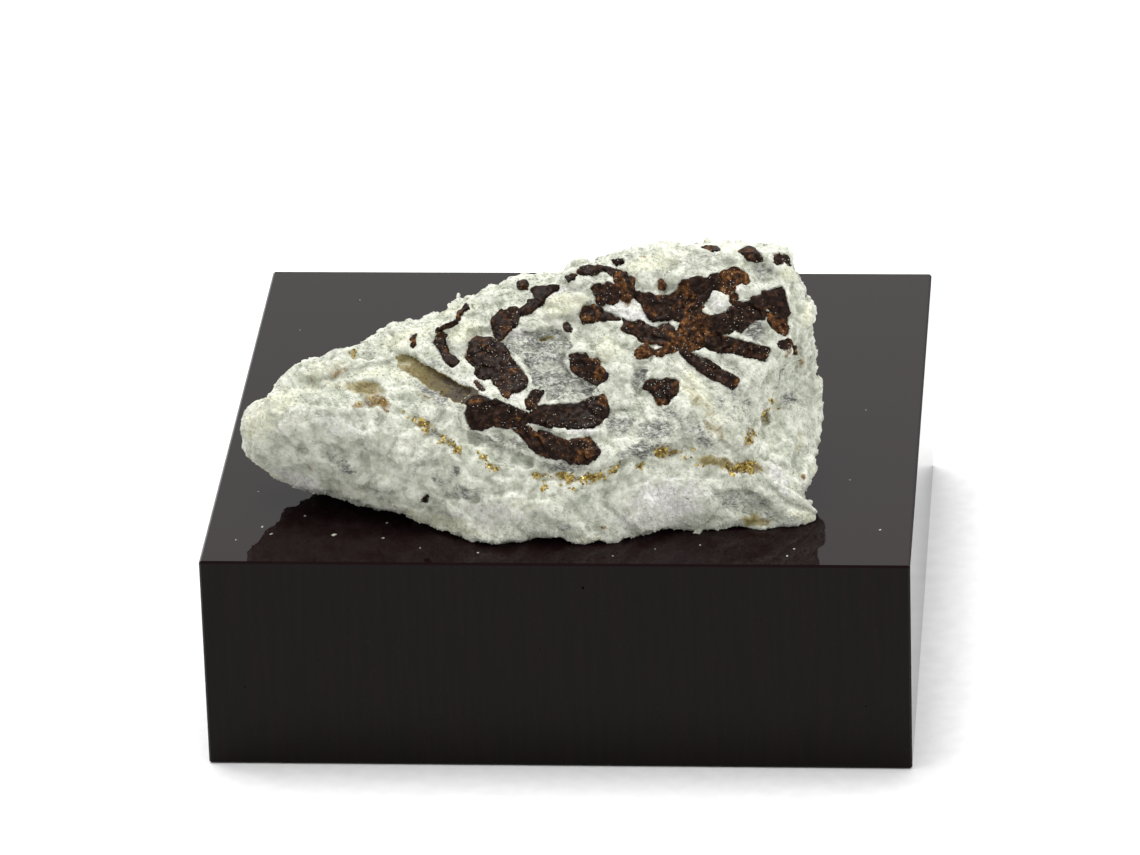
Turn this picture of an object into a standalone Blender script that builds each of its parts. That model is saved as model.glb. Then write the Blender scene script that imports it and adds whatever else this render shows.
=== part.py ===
"""A hand-sized schist specimen: dark prismatic crystals in a pale matrix, resting on a square black display block.

The stone is lofted over long rails, the edges that a finger would follow from its left tip to its right break.
Each crystal is a bevelled prism laid in a pocket of the matrix. Blender units are metres, +Z is up, and the
origin is the middle of the block's underside.
"""

import math

import bmesh
import bpy
import numpy as np
from mathutils import Matrix, Vector, noise
from mathutils.bvhtree import BVHTree

MM = 0.001

# Display block: sawn and polished acrylic
BLOCK_SIDE = 50.0 * MM
BLOCK_HEIGHT = 16.0 * MM
BLOCK_EDGE = 0.15 * MM

# Fits
FIT_GAP = 0.3 * MM  # between the stone and the block, and round each crystal
REST_HEIGHT = BLOCK_HEIGHT + FIT_GAP

# The side that the specimen shows: an eye in front of it, a little to the right, looking down at it
EYE_AZIMUTH = math.radians(4.85)
EYE_ELEVATION = math.radians(25.2)
EYE_ROLL = math.radians(-1.77)
EYE_DISTANCE = 576.4 * MM
EYE_ASIDE = 0.6 * MM  # how far the block's top centre is right of the line of sight
EYE_ABOVE = 1.1 * MM  # and how far above it

# Stone
STATIONS = 34  # cross-sections from the tip to the break
CAGE_LEVELS = 2
STONE_TRIANGLES = 5600
LUMP_SIZE = 5.0 * MM
LUMP_HEIGHT = 0.55 * MM
LEDGE_SIZE = 2.2 * MM
LEDGE_HEIGHT = 0.5 * MM
LEDGE_FLAT = 0.4

# Crystals
CRYSTAL_RISE = 0.35 * MM  # how far one stands proud
CRYSTAL_DEPTH = 1.0 * MM  # how deep it is sunk
CRYSTAL_BEVEL = 0.2  # share of its width
END_SLANT = 0.5
SEAT_REACH = 0.35  # where the surface is felt, as a share of the crystal's length and width
SEAT_LEAST = 0.2 * MM
SEAT_TO_EYE = 0.3  # how much a crystal turns its top to the eye
SLANT_MOST = 1.6
CREST_STEP = 0.1  # a crystal aimed above the crest is lowered onto it by steps of this many mm
WELD = 0.001 * MM

# Colours, linear
MATRIX_COLOUR = (0.56, 0.58, 0.50, 1.0)
CRYSTAL_COLOUR = (0.035, 0.018, 0.012, 1.0)
BLOCK_COLOUR = (0.004, 0.003, 0.003, 1.0)


def sight_axes():
    """The eye's right, up and forward directions."""
    back = Vector((
        math.sin(EYE_AZIMUTH) * math.cos(EYE_ELEVATION),
        -math.cos(EYE_AZIMUTH) * math.cos(EYE_ELEVATION),
        math.sin(EYE_ELEVATION),
    ))
    forward = -back
    level = forward.cross(Vector((0, 0, 1))).normalized()
    plumb = level.cross(forward)
    turn = Matrix.Rotation(-EYE_ROLL, 3, forward)
    return turn @ level, turn @ plumb, forward


RIGHT, UP, FORWARD = sight_axes()
EYE = Vector((0, 0, BLOCK_HEIGHT)) - FORWARD * EYE_DISTANCE - RIGHT * EYE_ASIDE - UP * EYE_ABOVE


def sight_line(across, up):
    """The direction in which a point shows that many mm right of and above the middle of the view."""
    return (FORWARD * EYE_DISTANCE + RIGHT * across * MM + UP * up * MM).normalized()


def seen(across, up, depth):
    """The point at that depth (mm, its Y) that shows at (across, up)."""
    line = sight_line(across, up)
    return EYE + line * ((depth * MM - EYE.y) / line.y)


def above_block(x, y, height):
    """A point given in mm, with its height above the block's top."""
    return Vector((x * MM, y * MM, BLOCK_HEIGHT + height * MM))


# Rails of the side that shows, each from the tip to the right break: (across, up, depth) in mm
FOOT = [
    (-24.3, 0.1, -14.0), (-24.1, -0.9, -14.8), (-23.3, -2.3, -15.6), (-22.2, -3.1, -16.2), (-20.3, -4.3, -16.0),
    (-18.9, -5.0, -16.3), (-17.0, -5.2, -16.6), (-15.6, -5.3, -17.0), (-15.0, -5.8, -17.6), (-12.8, -6.0, -18.2),
    (-11.7, -6.6, -19.3), (-9.9, -7.2, -20.2), (-8.2, -8.0, -21.2), (-6.6, -8.6, -22.0), (-5.7, -8.5, -22.0),
    (-4.1, -8.0, -21.8), (-2.2, -7.9, -22.0), (-0.4, -8.1, -22.0), (2.5, -8.6, -22.0), (3.1, -8.4, -21.7),
    (4.4, -7.9, -21.1), (6.3, -7.4, -20.2), (8.0, -7.3, -19.6), (10.7, -7.5, -19.4), (14.7, -7.5, -19.2),
    (15.5, -7.2, -18.9), (18.3, -7.0, -18.2),
]
BELLY = [
    (-24.4, 0.4, -14.4), (-22.8, -1.0, -17.0), (-19.7, -2.4, -18.0), (-15.3, -3.3, -18.8), (-10.2, -4.8, -20.2),
    (-5.8, -6.2, -21.6), (-1.5, -6.1, -21.8), (2.9, -6.2, -21.3), (8.0, -5.0, -20.0), (12.4, -5.2, -19.2),
    (16.0, -6.0, -18.5), (18.0, -6.4, -17.9),
]
SEAM = [
    (-24.3, 0.7, -14.6), (-22.3, 1.0, -17.2), (-19.0, 1.0, -18.0), (-16.2, 1.7, -17.6), (-13.4, 1.6, -17.6),
    (-10.6, 0.2, -18.6), (-8.4, -1.3, -19.6), (-6.5, -2.1, -20.2), (-3.0, -3.2, -20.7), (0.8, -3.4, -20.4),
    (3.7, -2.6, -19.6), (6.9, -1.8, -18.7), (10.0, -2.4, -18.4), (12.0, -2.9, -18.2), (13.9, -2.2, -17.2),
]
STEP = [
    (-24.2, 0.9, -14.4), (-21.9, 2.1, -15.8), (-19.0, 3.0, -15.6), (-16.7, 3.3, -15.4), (-13.9, 3.8, -15.2),
    (-12.1, 4.5, -14.8), (-11.3, 3.5, -15.8), (-9.6, 2.7, -16.6), (-7.7, 2.1, -17.4), (-6.6, 0.3, -18.6),
    (-3.0, -0.2, -18.7), (2.8, -0.2, -18.2), (5.1, 0.9, -16.9), (8.0, 1.6, -16.2), (12.2, 1.1, -16.0),
]
LIP = [
    (-24.1, 1.0, -14.0), (-21.9, 2.3, -15.2), (-19.0, 3.5, -14.8), (-16.7, 3.9, -14.6), (-13.9, 4.5, -14.0),
    (-12.6, 5.4, -13.4), (-11.0, 4.8, -14.2), (-9.5, 3.9, -15.0), (-8.2, 3.2, -15.7), (-7.0, 2.6, -16.2),
    (-5.1, 1.9, -16.8), (-3.0, 2.2, -16.6), (2.8, 2.5, -15.9), (5.1, 2.8, -15.2), (8.0, 4.0, -14.4),
    (12.5, 3.2, -15.0),
]
BROW = [
    (-24.0, 1.1, -13.6), (-21.8, 2.5, -13.6), (-19.4, 4.1, -12.8), (-16.5, 4.9, -12.2), (-13.8, 5.9, -11.6),
    (-10.4, 7.0, -11.4), (-5.1, 7.1, -12.0), (-0.7, 7.8, -12.0), (3.6, 8.6, -11.6), (8.7, 8.9, -11.2),
    (13.1, 9.0, -11.0), (16.0, 5.8, -12.0),
]
CREST = [
    (-24.0, 1.2, -13.2), (-23.0, 2.0, -12.6), (-21.8, 2.8, -12.0), (-20.9, 4.0, -11.3), (-19.8, 4.8, -10.7),
    (-17.9, 5.4, -10.2), (-15.2, 6.5, -9.4), (-13.6, 7.4, -8.9), (-12.4, 7.6, -8.7), (-10.4, 8.3, -8.5),
    (-8.3, 8.8, -8.4), (-6.3, 9.9, -8.2), (-4.0, 10.8, -8.0), (-1.7, 10.8, -8.2), (-0.2, 11.0, -8.2),
    (1.0, 11.8, -8.0), (2.5, 12.4, -7.8), (3.6, 12.9, -7.6), (6.7, 13.0, -7.4), (10.1, 13.4, -7.2),
    (12.8, 13.2, -7.2), (14.9, 13.0, -7.4), (16.1, 12.7, -7.6), (16.7, 11.6, -8.2),
]

# How sharp each of those rails is, from 0, rounded off, to 1
SHARPNESS_FRONT = [0.95, 0.1, 0.3, 0.8, 0.9, 0.2, 0.95]

# Rails of the far side and the underside: (x, y, height above the block) in mm
SHOULDER = [
    (-22.6, -12.2, 6.4), (-19.0, -9.2, 7.2), (-12.0, -5.5, 9.0), (-5.0, -4.0, 11.5), (4.0, -3.0, 13.4),
    (12.0, -2.8, 13.6), (17.4, -5.6, 11.0),
]
BACK = [
    (-22.4, -12.2, 5.4), (-18.0, -7.0, 5.0), (-11.0, -2.0, 6.0), (-3.0, 0.5, 8.0), (5.0, 1.8, 9.5),
    (12.0, 1.0, 9.5), (18.3, -6.8, 7.2),
]
HEEL = [
    (-22.6, -12.9, 4.8), (-17.0, -7.5, 2.0), (-10.0, -2.5, 0.9), (-2.0, 1.5, 0.2), (4.0, 2.6, 0.0),
    (10.0, 1.5, 0.3), (18.6, -10.2, 4.2),
]
SOLE = [
    (-22.8, -13.6, 4.8), (-18.5, -12.0, 1.5), (-12.0, -10.5, 0.8), (-4.0, -10.0, 0.5), (5.0, -9.0, 0.4),
    (12.0, -10.0, 0.8), (17.7, -14.8, 1.7),
]
SHARPNESS_REAR = [0.5, 0.5, 0.8, 0.2]
SHARPNESS_BREAK = 0.95
# The break's shallow hollow, ring by ring: share of the way to its middle, and how far in it lies there
BREAK_HOLLOW = [(0.25, 0.1 * MM), (0.5, 0.5 * MM), (0.75, 0.8 * MM)]

# Crystals by the group that they are grown together in: (across, up, length, width, turn in degrees), in mm as seen
CRYSTALS = {
    "crystal_star_cluster": [
        (9.3, 8.1, 2.8, 1.9, 80), (6.6, 8.9, 4.3, 1.8, -22), (9.6, 10.2, 2.5, 1.9, 20), (12.0, 11.0, 2.5, 1.2, 5),
        (13.1, 8.6, 5.7, 2.0, 22), (15.2, 8.0, 3.6, 1.3, -80), (11.4, 6.0, 6.7, 1.4, -13), (10.1, 4.3, 4.8, 1.0, -31),
        (6.6, 6.4, 3.4, 2.0, -20), (3.1, 8.0, 4.6, 1.0, -24), (5.3, 5.6, 1.3, 0.9, 0), (2.7, 9.8, 2.2, 1.5, 0),
        (3.9, 10.6, 1.8, 1.7, 90), (1.9, 11.5, 3.3, 0.6, 3),
        (15.6, 6.1, 1.0, 0.6, -10),
    ],
    "crystal_left_twin": [
        (-6.3, 5.1, 2.9, 2.3, -55), (-4.6, 4.2, 3.9, 2.2, -57), (-4.7, 7.4, 2.6, 1.4, 50), (-3.8, 8.6, 2.8, 1.0, 25),
        (-1.7, 9.5, 2.5, 1.1, 12),
    ],
    "crystal_mid": [(0.9, 4.6, 1.9, 1.5, -35), (2.0, 3.8, 1.5, 1.3, -50)],
    "crystal_bar": [(-5.4, 1.1, 4.4, 2.1, -6), (-0.1, 1.2, 5.9, 1.9, 4), (-2.6, 2.0, 1.6, 0.9, 60)],
    "crystal_lower": [(-0.8, -1.75, 3.5, 1.3, -24), (1.1, -2.1, 2.3, 1.4, 0)],
    "crystal_right_small": [(6.8, 2.9, 2.6, 1.3, 0), (6.7, 2.2, 1.3, 1.1, 0)],
    "crystal_curl": [(-9.5, 6.2, 1.5, 0.7, -75), (-8.6, 5.1, 1.6, 0.7, -45)],
    "crystal_crest_left": [(-7.8, 8.4, 1.7, 0.5, 55), (-8.8, 7.5, 1.5, 0.4, 30)],
    "crystal_top_left": [(10.3, 12.7, 1.4, 0.7, -15)],
    "crystal_top_middle": [(13.2, 12.3, 1.8, 1.0, -20)],
    "crystal_top_right": [(15.3, 11.7, 1.5, 0.8, -40)],
    "crystal_grain_left": [(-11.4, 6.2, 1.0, 0.6, 80)],
    "crystal_grain_middle": [(-0.2, 7.3, 0.7, 0.6, -30)],
    "crystal_grain_upper": [(6.6, 10.5, 0.8, 0.6, 80)],
    "crystal_grain_crest": [(3.5, 12.1, 0.7, 0.5, 10)],
    "crystal_grain_low": [(-10.5, -5.2, 0.6, 0.6, 0)],
}


def rail_points(rail, place):
    """The rail resampled at each station, in even steps of X from its first point to its last."""
    points = np.array([place(*p) for p in rail])
    x = points[:, 0]
    stops = np.linspace(x[0], x[-1], STATIONS)
    return np.stack([np.interp(stops, x, points[:, i]) for i in range(3)], axis=1)


def new_object(name, mesh, collection, material=None):
    obj = bpy.data.objects.new(name, mesh)
    collection.objects.link(obj)
    if material:
        mesh.materials.append(material)
    return obj


def new_collection(name):
    collection = bpy.data.collections.new(name)
    bpy.context.scene.collection.children.link(collection)
    return collection


def new_material(name, colour, roughness):
    material = bpy.data.materials.new(name)
    material.use_nodes = True
    shader = material.node_tree.nodes["Principled BSDF"]
    shader.inputs["Base Color"].default_value = colour
    shader.inputs["Roughness"].default_value = roughness
    material.diffuse_color = colour
    return material


def baked(obj):
    """The object's mesh as its modifiers leave it."""
    graph = bpy.context.evaluated_depsgraph_get()
    return bpy.data.meshes.new_from_object(obj.evaluated_get(graph))


def stone_cage():
    """The loft over the rails, closed at both ends."""
    front = [rail_points(rail, seen) for rail in (FOOT, BELLY, SEAM, STEP, LIP, BROW, CREST)]
    rear = [rail_points(rail, above_block) for rail in (SHOULDER, BACK, HEEL, SOLE)]
    rails = front + rear
    bm = bmesh.new()
    crease = bm.edges.layers.float.new("crease_edge")
    rings = [[bm.verts.new(rail[s]) for rail in rails] for s in range(STATIONS)]
    for ring, following in zip(rings, rings[1:]):
        for i in range(len(rails)):
            j = (i + 1) % len(rails)
            bm.faces.new((ring[i], following[i], following[j], ring[j]))
    bm.faces.new(rings[0])
    middle = sum((v.co for v in rings[-1]), Vector()) / len(rails)
    inward = Vector((-1, 0, 0))
    outer = rings[-1]
    for share, depth in BREAK_HOLLOW:
        inner = [bm.verts.new(v.co.lerp(middle, share) + inward * depth) for v in rings[-1]]
        for i in range(len(rails)):
            j = (i + 1) % len(rails)
            bm.faces.new((outer[i], inner[i], inner[j], outer[j]))
        outer = inner
    bm.faces.new(reversed(outer))
    for ring, following in zip(rings, rings[1:]):
        for i, sharp in enumerate(SHARPNESS_FRONT + SHARPNESS_REAR):
            bm.edges.get((ring[i], following[i]))[crease] = sharp
    for i in range(len(rails)):
        bm.edges.get((rings[-1][i - 1], rings[-1][i]))[crease] = SHARPNESS_BREAK
    bmesh.ops.recalc_face_normals(bm, faces=bm.faces)
    mesh = bpy.data.meshes.new("stone_cage")
    bm.to_mesh(mesh)
    bm.free()
    return mesh


def roughened(mesh):
    """Lumps and stepped ledges of a broken surface, pushed along the normals. Nothing sinks below its rest."""
    normals = [v.normal.copy() for v in mesh.vertices]
    for vertex, normal in zip(mesh.vertices, normals):
        lump = noise.fractal(vertex.co / LUMP_SIZE, 0.8, 2.0, 3)
        near, second = noise.voronoi(vertex.co / LEDGE_SIZE)[0][:2]
        ledge = min(second - near, LEDGE_FLAT) - LEDGE_FLAT / 2
        vertex.co += normal * (lump * LUMP_HEIGHT + ledge * LEDGE_HEIGHT)
        vertex.co.z = max(vertex.co.z, REST_HEIGHT)


def make_stone(collection, material):
    cage = new_object("stone_cage", stone_cage(), collection)
    smooth = cage.modifiers.new("smooth", "SUBSURF")
    smooth.levels = smooth.render_levels = CAGE_LEVELS
    mesh = baked(cage)
    bpy.data.objects.remove(cage)
    roughened(mesh)
    rough = new_object("rough_stone", mesh, collection)
    thin = rough.modifiers.new("fewer_faces", "DECIMATE")
    thin.ratio = STONE_TRIANGLES / (2 * len(mesh.polygons))
    thin.use_collapse_triangulate = True
    mesh = baked(rough)
    bpy.data.objects.remove(rough)
    return new_object("matrix_rock", mesh, collection, material)


def seat(surface, across, up, length, width, turn):
    """Where a crystal lies: the middle and the axes of the patch of surface that it covers, and how much longer
    and wider than it shows it is there, because the surface slants away from the eye."""
    lengthwise = RIGHT * math.cos(turn) + UP * math.sin(turn)
    crosswise = FORWARD.cross(lengthwise)
    middle = None
    while middle is None:
        middle = surface.ray_cast(EYE, sight_line(across, up))[0]
        up -= CREST_STEP
    spread = []
    for i, j in ((1, 0), (-1, 0), (0, 1), (0, -1)):
        aim = middle + (lengthwise * i * length + crosswise * j * width) * MM * SEAT_REACH
        point = surface.ray_cast(EYE, (aim - EYE).normalized())[0]
        spread.append(point if point and (point - middle).length < length * MM else middle)
    along = spread[0] - spread[1]
    over = spread[2] - spread[3]
    facing = surface.find_nearest(middle)[1]
    if along.length > SEAT_LEAST and over.length > SEAT_LEAST:
        facing = along.cross(over).normalized()
        middle = (middle * 2 + sum(spread, Vector())) / 6
    if facing.dot(FORWARD) > 0:
        facing = -facing
    facing = (facing - FORWARD * SEAT_TO_EYE).normalized()
    slant_long = lengthwise - FORWARD * (lengthwise.dot(facing) / FORWARD.dot(facing))
    slant_wide = crosswise - FORWARD * (crosswise.dot(facing) / FORWARD.dot(facing))
    x = slant_long.normalized()
    axes = Matrix((x, facing.cross(x), facing)).transposed()
    return middle, axes, min(slant_long.length, SLANT_MOST), min(slant_wide.length, SLANT_MOST)


def prism(surface, place, grow):
    """One crystal: a bar with its long edges bevelled and its ends a little askew, sunk in the surface."""
    across, up, length, width, turn = place
    middle, axes, longer, wider = seat(surface, across, up, length, width, math.radians(turn))
    size = Vector((length * longer * MM, width * wider * MM, CRYSTAL_DEPTH + CRYSTAL_RISE))
    bm = bmesh.new()
    bmesh.ops.create_cube(bm, size=1.0)
    bmesh.ops.scale(bm, vec=size, verts=bm.verts)
    long_edges = [e for e in bm.edges if abs(e.verts[0].co.x - e.verts[1].co.x) > size.x / 2]
    bmesh.ops.bevel(bm, geom=long_edges, offset=size.y * CRYSTAL_BEVEL, segments=1, profile=0.5,
                    affect="EDGES", material=-1)
    askew = noise.noise(middle / MM) * END_SLANT
    for vertex in bm.verts:
        vertex.co.x += vertex.co.y * askew
    bmesh.ops.translate(bm, vec=(0, 0, CRYSTAL_RISE - size.z / 2), verts=bm.verts)
    if grow:
        stretch = [(s + 2 * grow) / s for s in size]
        lift = Vector((0, 0, CRYSTAL_RISE - size.z / 2))
        bmesh.ops.scale(bm, vec=stretch, verts=bm.verts, space=Matrix.Translation(-lift))
    bmesh.ops.transform(bm, matrix=Matrix.Translation(middle) @ axes.to_4x4(), verts=bm.verts)
    bmesh.ops.recalc_face_normals(bm, faces=bm.faces)
    return bm


def joined_prisms(name, surface, places, collection, grow=0.0):
    """The prisms of one crystal group as one object. A Boolean joins those after the first."""
    objects = []
    for i, place in enumerate(places):
        bm = prism(surface, place, grow)
        mesh = bpy.data.meshes.new(name)
        bm.to_mesh(mesh)
        bm.free()
        objects.append(new_object(f"{name}_{i}", mesh, collection))
    whole = objects[0]
    for other in objects[1:]:
        join = whole.modifiers.new("join", "BOOLEAN")
        join.operation = "UNION"
        join.object = other
    mesh = baked(whole)
    for obj in objects:
        bpy.data.objects.remove(obj)
    return mesh


def largest_island(mesh):
    """Drops the loose chips that a cut can leave."""
    bm = bmesh.new()
    bm.from_mesh(mesh)
    bmesh.ops.remove_doubles(bm, verts=bm.verts, dist=WELD)
    left = set(bm.faces)
    islands = []
    while left:
        todo = [left.pop()]
        island = set(todo)
        while todo:
            for edge in todo.pop().edges:
                for face in edge.link_faces:
                    if face in left:
                        left.discard(face)
                        island.add(face)
                        todo.append(face)
        islands.append(island)
    islands.sort(key=len)
    chips = [face for island in islands[:-1] for face in island]
    bmesh.ops.delete(bm, geom=chips, context="FACES")
    bm.to_mesh(mesh)
    bm.free()


def make_crystals(collection, material, stone):
    """The crystals, and the pockets in the stone that they lie in."""
    bm = bmesh.new()
    bm.from_mesh(stone.data)
    surface = BVHTree.FromBMesh(bm)
    bm.free()
    cutters = new_collection("pockets")
    for name, places in CRYSTALS.items():
        new_object(name, joined_prisms(name, surface, places, collection), collection, material)
        pocket = joined_prisms(name, surface, places, cutters, FIT_GAP)
        cutter = new_object(f"pocket_{name}", pocket, cutters)
        cutter.hide_render = True
        cutter.display_type = "WIRE"
    cut = stone.modifiers.new("pockets", "BOOLEAN")
    cut.operand_type = "COLLECTION"
    cut.collection = cutters
    mesh = baked(stone)
    stone.modifiers.clear()
    largest_island(mesh)
    stone.data = mesh


def make_block(collection, material):
    mesh = bpy.data.meshes.new("display_block")
    bm = bmesh.new()
    bmesh.ops.create_cube(bm, size=1.0)
    bmesh.ops.scale(bm, vec=(BLOCK_SIDE, BLOCK_SIDE, BLOCK_HEIGHT), verts=bm.verts)
    bmesh.ops.translate(bm, vec=(0, 0, BLOCK_HEIGHT / 2), verts=bm.verts)
    bm.to_mesh(mesh)
    bm.free()
    block = new_object("display_block", mesh, collection, material)
    edge = block.modifiers.new("polished_edge", "BEVEL")
    edge.width = BLOCK_EDGE
    edge.segments = 1
    return block


def main():
    for obj in list(bpy.data.objects):
        bpy.data.objects.remove(obj)
    parts = new_collection("schist_specimen")
    matrix = new_material("pale_schist", MATRIX_COLOUR, 0.75)
    acrylic = new_material("black_acrylic", BLOCK_COLOUR, 0.05)
    make_block(parts, acrylic)
    stone = make_stone(parts, matrix)
    make_crystals(parts, new_material("dark_crystal", CRYSTAL_COLOUR, 0.35), stone)


main()
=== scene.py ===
# %% [markdown]
# # A schist specimen on a black acrylic block
# The stone is a broken piece of sugary white rock, with stubby brown-black crystals set in it and a thin seam of
# gold mica. It stands on a square of polished black acrylic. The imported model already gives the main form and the
# place of every piece, so this lesson is about surfaces: how broken rock, crystals and mica catch the light.

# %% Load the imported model
import math
from collections import Counter

import bmesh
import bpy
import numpy as np
from mathutils import Matrix, Vector, kdtree, noise
from mathutils.bvhtree import BVHTree


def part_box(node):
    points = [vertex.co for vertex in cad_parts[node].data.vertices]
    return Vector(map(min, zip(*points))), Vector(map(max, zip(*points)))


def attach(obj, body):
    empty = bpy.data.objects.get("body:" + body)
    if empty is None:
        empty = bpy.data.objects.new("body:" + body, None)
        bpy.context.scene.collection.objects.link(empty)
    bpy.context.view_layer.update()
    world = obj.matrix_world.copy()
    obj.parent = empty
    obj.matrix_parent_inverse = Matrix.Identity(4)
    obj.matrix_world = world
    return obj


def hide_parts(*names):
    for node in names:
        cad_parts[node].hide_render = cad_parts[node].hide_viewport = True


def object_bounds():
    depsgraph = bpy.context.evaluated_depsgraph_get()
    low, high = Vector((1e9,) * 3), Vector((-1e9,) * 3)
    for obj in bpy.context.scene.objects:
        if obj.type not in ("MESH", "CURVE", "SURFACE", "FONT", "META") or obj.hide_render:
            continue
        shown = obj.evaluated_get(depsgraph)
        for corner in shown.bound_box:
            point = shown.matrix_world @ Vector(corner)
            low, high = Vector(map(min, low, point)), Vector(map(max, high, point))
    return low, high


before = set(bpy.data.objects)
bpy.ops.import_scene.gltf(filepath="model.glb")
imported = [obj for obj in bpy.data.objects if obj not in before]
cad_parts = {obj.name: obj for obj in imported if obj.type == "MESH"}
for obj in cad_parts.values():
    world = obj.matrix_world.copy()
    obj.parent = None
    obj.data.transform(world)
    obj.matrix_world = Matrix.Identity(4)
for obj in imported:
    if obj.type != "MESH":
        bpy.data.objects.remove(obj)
cad_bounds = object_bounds()
MM = 0.001
ROCK_SEED = 7
noise.seed_set(ROCK_SEED)  # without a seed, vectors of noise differ from run to run
BLOCK_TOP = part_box("display_block")[1][2]
print("block top", round(BLOCK_TOP / MM, 2), "mm")

# %% [markdown]
# ## Camera
# The photograph was taken from in front, a little to the right and from above, with a long lens. Its place was found
# by fitting a camera to the block's six visible corners. The same numbers also let any pixel of the photograph be
# followed back to the stone, which is how the crystals below get their outlines.

# %% Camera
PHOTO_WIDTH, PHOTO_HEIGHT = 1140, 855
PIXELS_PER_MM = 13.72
EYE_AZIMUTH = math.radians(4.85)
EYE_ELEVATION = math.radians(25.2)
EYE_ROLL = math.radians(-1.77)
EYE_DISTANCE = 576.4 * MM
EYE_ASIDE, EYE_ABOVE = 0.6 * MM, 1.1 * MM
SENSOR = 36.0
CLIP_NEAR, CLIP_FAR = 0.05, 5.0
LENS = PIXELS_PER_MM * EYE_DISTANCE / MM / PHOTO_WIDTH * SENSOR

BACK = Vector((
    math.sin(EYE_AZIMUTH) * math.cos(EYE_ELEVATION),
    -math.cos(EYE_AZIMUTH) * math.cos(EYE_ELEVATION),
    math.sin(EYE_ELEVATION),
))
LEVEL = (-BACK).cross(Vector((0, 0, 1))).normalized()
ROLL = Matrix.Rotation(-EYE_ROLL, 3, -BACK)
RIGHT, UP = ROLL @ LEVEL, ROLL @ LEVEL.cross(-BACK)
EYE = Vector((0, 0, BLOCK_TOP)) + BACK * EYE_DISTANCE - RIGHT * EYE_ASIDE - UP * EYE_ABOVE

camera = bpy.data.objects.new("camera", bpy.data.cameras.new("camera"))
bpy.context.scene.collection.objects.link(camera)
camera.data.lens = LENS
camera.data.sensor_width = SENSOR
camera.data.clip_start, camera.data.clip_end = CLIP_NEAR, CLIP_FAR
camera.matrix_world = Matrix.Translation(EYE) @ Matrix((RIGHT, UP, BACK)).transposed().to_4x4()
bpy.context.scene.camera = camera
print("lens", round(LENS, 1), "mm")


def sight_line(u, v):
    """The direction from the eye through a pixel of the photograph."""
    across = (u - PHOTO_WIDTH / 2) / PIXELS_PER_MM * MM
    up = (PHOTO_HEIGHT / 2 - v) / PIXELS_PER_MM * MM
    return (RIGHT * across + UP * up - BACK * EYE_DISTANCE).normalized()


def pixels_of(points):
    """Where points (an array, in metres) show in the photograph."""
    away = points - np.array(EYE)
    depth = -away @ np.array(BACK)
    scale = PIXELS_PER_MM / MM * EYE_DISTANCE / depth
    return PHOTO_WIDTH / 2 + away @ np.array(RIGHT) * scale, PHOTO_HEIGHT / 2 - away @ np.array(UP) * scale


# %% [markdown]
# ## Small helpers
# Every finish here is a few nodes, so one function adds a node with its settings and links. Colours are written as
# they look on a screen, in hex, and turned to the linear values that a shader works in.

# %% Helpers for materials and pieces
def linear(code):
    """An sRGB hex colour as linear red, green, blue and alpha."""
    values = [int(code[i:i + 2], 16) / 255 for i in (1, 3, 5)]
    return [v / 12.92 if v <= 0.04045 else ((v + 0.055) / 1.055) ** 2.4 for v in values] + [1.0]


def new_material(name):
    material = bpy.data.materials.new(name)
    material.use_nodes = True
    return material


def add_node(material, kind, settings=None, **inputs):
    """A node of that kind. Settings are its own, inputs are socket values or the output sockets to link to them."""
    tree = material.node_tree
    node = tree.nodes.new("ShaderNode" + kind)
    for name, value in (settings or {}).items():
        if name == "stops":
            ramp = node.color_ramp.elements
            while len(ramp) < len(value):
                ramp.new(0.5)
            for element, (position, code) in zip(ramp, value):
                element.position, element.color = position, linear(code)
        else:
            setattr(node, name, value)
    for name, value in inputs.items():
        name = name.replace("_", " ")
        socket = node.inputs[int(name[1:])] if name[0] == "i" and name[1:].isdigit() else node.inputs[name]
        if isinstance(value, bpy.types.NodeSocket):
            tree.links.new(value, socket)
        else:
            socket.default_value = value
    return node


def shader_of(material):
    return material.node_tree.nodes["Principled BSDF"]


def link(material, output, socket):
    material.node_tree.links.new(output, shader_of(material).inputs[socket])


def new_piece(name, mesh, material, slot, *nodes):
    """A finished piece: it rides on the one body and stands for the nodes named."""
    piece = bpy.data.objects.new(name, mesh)
    bpy.context.scene.collection.objects.link(piece)
    mesh.materials.clear()
    mesh.materials.append(material)
    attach(piece, "root")
    if nodes:
        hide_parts(*nodes)
    return piece


print("mid grey on a screen is", round(linear("#808080")[0], 3), "to a shader")

# %% [markdown]
# A shape is changed in three ways. A modifier such as Remesh is run on a mesh and its result is kept. A bmesh is
# edited with operators and written to a mesh. Where every point moves at once, as with noise, the points are an array.

# %% Helpers for meshes
LEAST_CORNERS = 20  # a loose shell with fewer corners is a speck


def modified(mesh, kind, weights=(), **settings):
    """The mesh after a modifier of that kind. Weights are pairs: an array of which points, and their weight."""
    holder = bpy.data.objects.new("holder", mesh)
    bpy.context.scene.collection.objects.link(holder)
    group = holder.vertex_groups.new(name="weighted") if weights else None
    for chosen, weight in weights:
        group.add(np.nonzero(chosen)[0].tolist(), weight, "REPLACE")
    modifier = holder.modifiers.new("modifier", kind)
    for name, value in settings.items():
        setattr(modifier, name, value)
    graph = bpy.context.evaluated_depsgraph_get()
    result = bpy.data.meshes.new_from_object(holder.evaluated_get(graph))
    bpy.data.objects.remove(holder)
    return result


def remeshed(mesh, voxel):
    """The mesh rebuilt as one closed skin of even squares."""
    return modified(mesh, "REMESH", mode="VOXEL", voxel_size=voxel)


def mesh_from(bm, name):
    """A bmesh as a new mesh."""
    mesh = bpy.data.meshes.new(name)
    bm.to_mesh(mesh)
    bm.free()
    return mesh


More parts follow.
